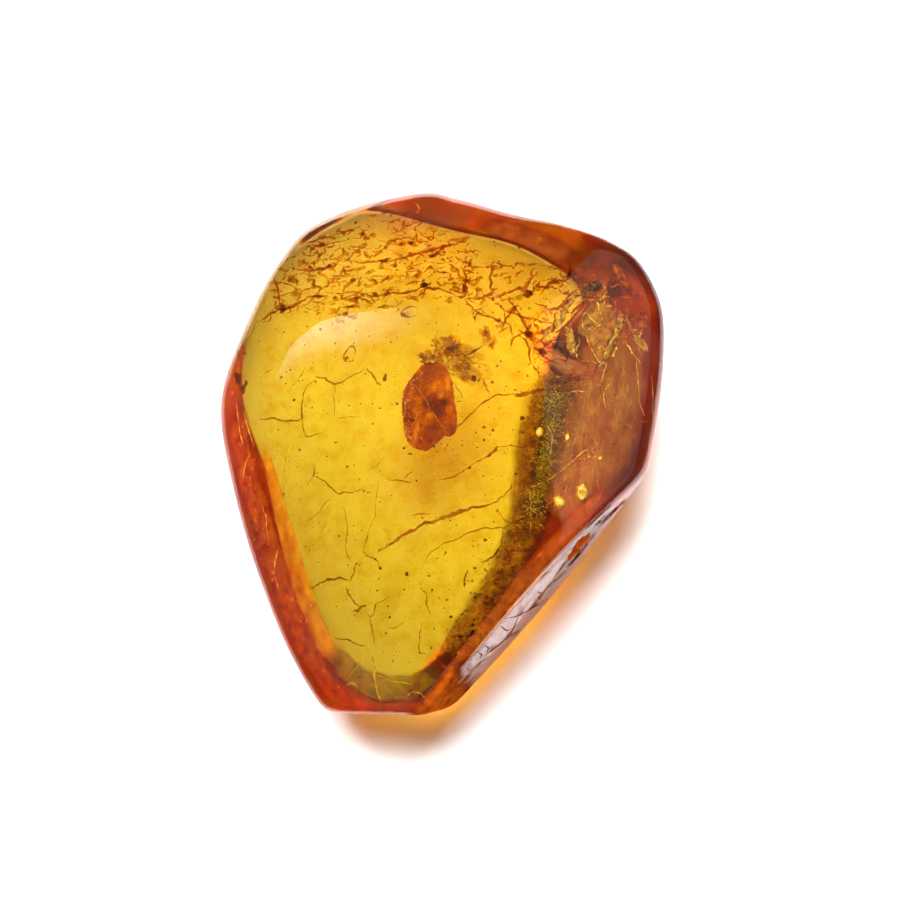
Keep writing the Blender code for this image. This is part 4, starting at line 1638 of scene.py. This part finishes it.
def scattered_dust(place, count, rng):
    """The single dark grains, and the dust scattered over the plan, joined."""
    dust = Joined()
    for seed, (across, along, depth, plan) in enumerate(DARK_GRAINS):
        radii = (across, along, 0.8 * min(across, along))
        dust.add(*pebble(place(*plan, depth), radii, seed, 0.8, 2))
    for _ in range(count):
        u, v = (rng.uniform(*span) for span in SPECKS_TRIED)
        if not inside_plan(SPECKS_OVER, u, v):
            continue
        radius = rng.choice(SPECK_RADII)
        radii = [radius * rng.uniform(0.7, 1.5) for _ in range(3)]
        dust.add(*pebble(place(u, v, rng.uniform(*SPECK_DEPTHS)), radii, rng.random() * 99, 0.7))
    return dust


def dust_veil(place):
    """A thin sheet of the finest dust across the stone, thinning out at its edge."""
    middle_u, middle_v = VEIL_MIDDLE
    drawn_in = [
        (middle_u + 0.9 * (u - middle_u), middle_v + 0.93 * (v - middle_v)) for u, v in SPECKS_OVER
    ]
    layout, faces = seen_patch(drawn_in, VEIL_MIDDLE, 0.3, 30, 120)
    veil = Joined()
    veil.add([place(u, v, VEIL_DEPTH + rise) for u, v, rise in layout], faces)
    mesh = veil.mesh("dust_veil")
    paint(mesh, "cover", [min(1, abs(rise) / 0.05) for *_, rise in layout])
    piece("dust_veil", mesh, dust_veiled())


def rim_glints(place, rng):
    """Grains along the left rim that catch the light, joined."""
    lit = Joined()
    rim = open_curve(LEFT_RIM, 12)
    for _ in range(RIM_GLINTS):
        u, v = rim[rng.randrange(len(rim))] + (rng.uniform(-11, 11), rng.uniform(-5, 5))
        radius = rng.uniform(0.02, 0.05)
        lit.add(*pebble(place(u, v, rng.uniform(0.3, 1.6)), (radius, 1.6 * radius, radius), v, 0.9, 1))
    return lit


class AMBER_OT_specks(bpy.types.Operator):
    """Scatters the forest dust that the resin caught, its fine veil and the glints in the left rim"""

    bl_idname = "amber.specks"
    bl_label = "Specks"

    def execute(self, context):
        settings = context.scene.amber_specks
        rng = random.Random(settings.seed)
        place = sight_into_stone()
        dust = scattered_dust(place, settings.count, rng)
        joined_piece("dust_specks", dust, film_stained("dust_brown", "#AC8448", "#785424"))
        dust_veil(place)
        joined_piece("rim_glints", rim_glints(place, rng), fracture_lit("rim_glint", "#B04810", "#E88838"))
        return {"FINISHED"}


def band_grains(place, count, rng):
    """The grains of the cloudy band: the dark ones, joined, and the few that catch the light."""
    line = open_curve([(*middle, half) for middle, half in CLOUDY_BAND], 9)
    dark, lit = Joined(), Joined()
    for k in range(count):
        u, v, half = line[rng.randrange(len(line))]
        u, v = u + half * rng.gauss(0, 0.5), v + rng.gauss(0, 6)
        radius = 0.02 + min(0.14, rng.expovariate(32))
        radii = (radius * 1.4, radius * 0.9, radius)
        grain = pebble(place(u, v, rng.uniform(*BAND_GRAIN_DEPTHS)), radii, k, 1.2, 2)
        (lit if rng.random() < BAND_GRAINS_LIT else dark).add(*grain)
    return dark, lit


def moss_grains(place, rng):
    """The grains of the mossy patches, joined."""
    moss = Joined()
    for (middle_u, middle_v), (across, along) in MOSS:
        for k in range(MOSS_GRAINS):
            u, v = rng.gauss(middle_u, 0.55 * across), rng.gauss(middle_v, 0.55 * along)
            radius = rng.uniform(0.015, 0.05)
            moss.add(*pebble(place(u, v, rng.uniform(*MOSS_DEPTHS)), (radius * 1.5, radius, radius), k, 1.2))
    return moss


class AMBER_OT_band(bpy.types.Operator):
    """Spreads the cloudy strips of amber, and the grains and the moss in them"""

    bl_idname = "amber.band"
    bl_label = "Cloudy strips"

    def execute(self, context):
        settings = context.scene.amber_specks
        rng = random.Random(settings.seed + 5)
        place = sight_into_stone()
        for name, middles, depth, finish in CLOUDY_STRIPS:
            cloud_strip(name, place, middles, depth, cloudy_amber(*finish))
        dark, lit = band_grains(place, settings.band_grains, rng)
        moss = moss_grains(place, rng)
        joined_piece("moss_grains", moss, fracture_lit("moss_olive", "#5C5010", "#C8AC38"))
        joined_piece("band_grains", dark, film_stained("grain_olive", "#E4DAB4", "#C4B680", 0.3))
        joined_piece("band_glints", lit, fracture_lit("glint_olive", "#8C6814", "#D0A838"))
        return {"FINISHED"}


# ---------------------------------------------------------------------------------------------
# Stage
# ---------------------------------------------------------------------------------------------
def soft_light(name, compass, above, distance, size, radiance, mirrored=True, roll=0.0):
    """An area light at a compass angle clockwise from +Y, aimed at the stone."""
    light = bpy.data.lights.new(name, "AREA")
    light.shape = "RECTANGLE"
    light.size, light.size_y = size
    light.energy = math.pi * size[0] * size[1] * radiance
    lamp = bpy.data.objects.new(name, light)
    bpy.context.scene.collection.objects.link(lamp)
    towards = Vector(facing(90 - compass, above))
    lamp.location = Vector(CAMERA_TARGET) * MM + towards * distance
    lamp.rotation_mode = "QUATERNION"
    lamp.rotation_quaternion = towards.to_track_quat("Z", "Y") @ Quaternion((0, 0, 1), math.radians(roll))
    lamp.visible_glossy = mirrored
    return lamp


def fade_light(lamp):
    """Brightest along the light's lower edge, fading out to its top and to one end, as daylight
    does down a blind."""
    lamp.data.use_nodes = True
    tree = lamp.data.node_tree
    on_lamp = add(tree, "ShaderNodeSeparateXYZ", {
        "Vector": add(tree, "ShaderNodeNewGeometry").outputs["Parametric"],
    })
    up = add(tree, "ShaderNodeMapRange", {
        "Value": on_lamp.outputs["Y"], "From Min": 0.05, "From Max": 0.9, "To Min": 1.0, "To Max": 0.0,
    }, interpolation_type="SMOOTHSTEP").outputs["Result"]
    along = add(tree, "ShaderNodeMapRange", {
        "Value": on_lamp.outputs["X"], "From Min": 0.0, "From Max": 0.45,
    }, interpolation_type="SMOOTHSTEP").outputs["Result"]
    taper = add(tree, "ShaderNodeMath", {0: on_lamp.outputs["Y"], 1: 0.8, 2: on_lamp.outputs["X"]},
                operation="MULTIPLY_ADD").outputs[0]
    point = add(tree, "ShaderNodeMapRange", {
        "Value": taper, "From Min": 0.65, "From Max": 1.0, "To Min": 1.0, "To Max": 0.0,
    }, interpolation_type="SMOOTHSTEP").outputs["Result"]
    both = add(tree, "ShaderNodeMath", {0: up, 1: along}, operation="MULTIPLY").outputs[0]
    strength = add(tree, "ShaderNodeMath", {0: both, 1: point}, operation="MULTIPLY").outputs[0]
    tree.links.new(strength, tree.nodes["Emission"].inputs["Strength"])


class AMBER_OT_stage(bpy.types.Operator):
    """Lays the floor, sets the lights and puts up the camera"""

    bl_idname = "amber.stage"
    bl_label = "Stage"

    def execute(self, context):
        settings = context.scene.amber_stage
        half = 3.0
        mesh = bpy.data.meshes.new("floor")
        level = -0.1 * MM
        mesh.from_pydata(
            [(-half, -half, level), (half, -half, level), (half, half, level), (-half, half, level)],
            [], [(0, 1, 2, 3)],
        )
        material, tree = new_material("floor_card_matt")
        finish_material(tree, add(tree, "ShaderNodeBsdfPrincipled", {
            "Base Color": tuple(settings.floor_colour), "Roughness": 0.9,
        }))
        mesh.materials.append(material)
        floor = bpy.data.objects.new("floor", mesh)
        context.scene.collection.objects.link(floor)
        world = bpy.data.worlds.new("room")
        world.use_nodes = True
        world.node_tree.nodes["Background"].inputs["Color"].default_value = (1, 1, 1, 1)
        world.node_tree.nodes["Background"].inputs["Strength"].default_value = settings.world_light
        context.scene.world = world
        soft_light("main_light", -30, 65, 0.6, (0.50, 0.50), settings.main_light, mirrored=False)
        window = soft_light("window_light", -50, 46, 0.6, (0.55, 0.26), settings.window_light, roll=-22)
        fade_light(window)
        soft_light("back_light", 10, 60, 0.6, (0.30, 0.30), settings.back_light, mirrored=False)
        soft_light("side_card", 75, 35, 0.8, (0.5, 0.4), 0.45)
        camera = bpy.data.cameras.new("camera")
        camera.lens = CAMERA_LENS
        camera.sensor_width = SENSOR
        camera.clip_start = 0.01
        viewer = bpy.data.objects.new("camera", camera)
        context.scene.collection.objects.link(viewer)
        viewer.location = camera_place()
        viewer.rotation_mode = "QUATERNION"
        viewer.rotation_quaternion = (camera_place() - Vector(CAMERA_TARGET) * MM).to_track_quat("Z", "Y")
        context.scene.camera = viewer
        context.scene.cycles.max_bounces = 32
        context.scene.cycles.glossy_bounces = 24
        context.scene.cycles.transmission_bounces = 32
        context.scene.view_settings.view_transform = "Standard"
        return {"FINISHED"}


# ---------------------------------------------------------------------------------------------
# Panel, and what runs it all
# ---------------------------------------------------------------------------------------------
class AMBER_PT_panel(bpy.types.Panel):
    """Lists the stone's settings and its pieces"""

    bl_idname = "AMBER_PT_panel"
    bl_label = "Insect in amber"
    bl_space_type = "VIEW_3D"
    bl_region_type = "UI"
    bl_category = "Amber"

    def draw(self, context):
        for group, operators in PANEL_ROWS:
            box = self.layout.box()
            settings = getattr(context.scene, group)
            for name in settings.bl_rna.properties.keys():
                if name not in ("rna_type", "name"):
                    box.prop(settings, name)
            for operator in operators:
                box.operator(operator.bl_idname)


PANEL_ROWS = (
    ("amber_stone", (AMBER_OT_stone, AMBER_OT_rind, AMBER_OT_crust)),
    ("amber_cracks", (
        AMBER_OT_cracks, AMBER_OT_crackle, AMBER_OT_flakes, AMBER_OT_gold, AMBER_OT_wall_cracks,
    )),
    ("amber_insect", (AMBER_OT_insect, AMBER_OT_tuft, AMBER_OT_debris)),
    ("amber_specks", (AMBER_OT_specks, AMBER_OT_band)),
    ("amber_stage", (AMBER_OT_stage,)),
)
SETTINGS = {
    "amber_stone": StoneSettings,
    "amber_cracks": CrackSettings,
    "amber_insect": InsectSettings,
    "amber_specks": SpeckSettings,
    "amber_stage": StageSettings,
}
OPERATORS = tuple(operator for _, operators in PANEL_ROWS for operator in operators)


def register():
    """Tells Blender of the settings, the operators and the panel."""
    for group in SETTINGS.values():
        bpy.utils.register_class(group)
    for name, group in SETTINGS.items():
        setattr(bpy.types.Scene, name, bpy.props.PointerProperty(type=group))
    for operator in OPERATORS:
        bpy.utils.register_class(operator)
    bpy.utils.register_class(AMBER_PT_panel)


def unregister():
    """Takes them out again, the last first."""
    bpy.utils.unregister_class(AMBER_PT_panel)
    for operator in reversed(OPERATORS):
        bpy.utils.unregister_class(operator)
    for name, group in SETTINGS.items():
        delattr(bpy.types.Scene, name)
        bpy.utils.unregister_class(group)


def main():
    """Builds the stage and every piece."""
    register()
    bpy.ops.amber.stage()
    bpy.ops.amber.stone()
    bpy.ops.amber.rind()
    bpy.ops.amber.crust()
    bpy.ops.amber.cracks()
    bpy.ops.amber.crackle()
    bpy.ops.amber.flakes()
    bpy.ops.amber.gold()
    bpy.ops.amber.wall_cracks()
    bpy.ops.amber.insect()
    bpy.ops.amber.tuft()
    bpy.ops.amber.debris()
    bpy.ops.amber.specks()
    bpy.ops.amber.band()


if __name__ == "__main__":
    main()
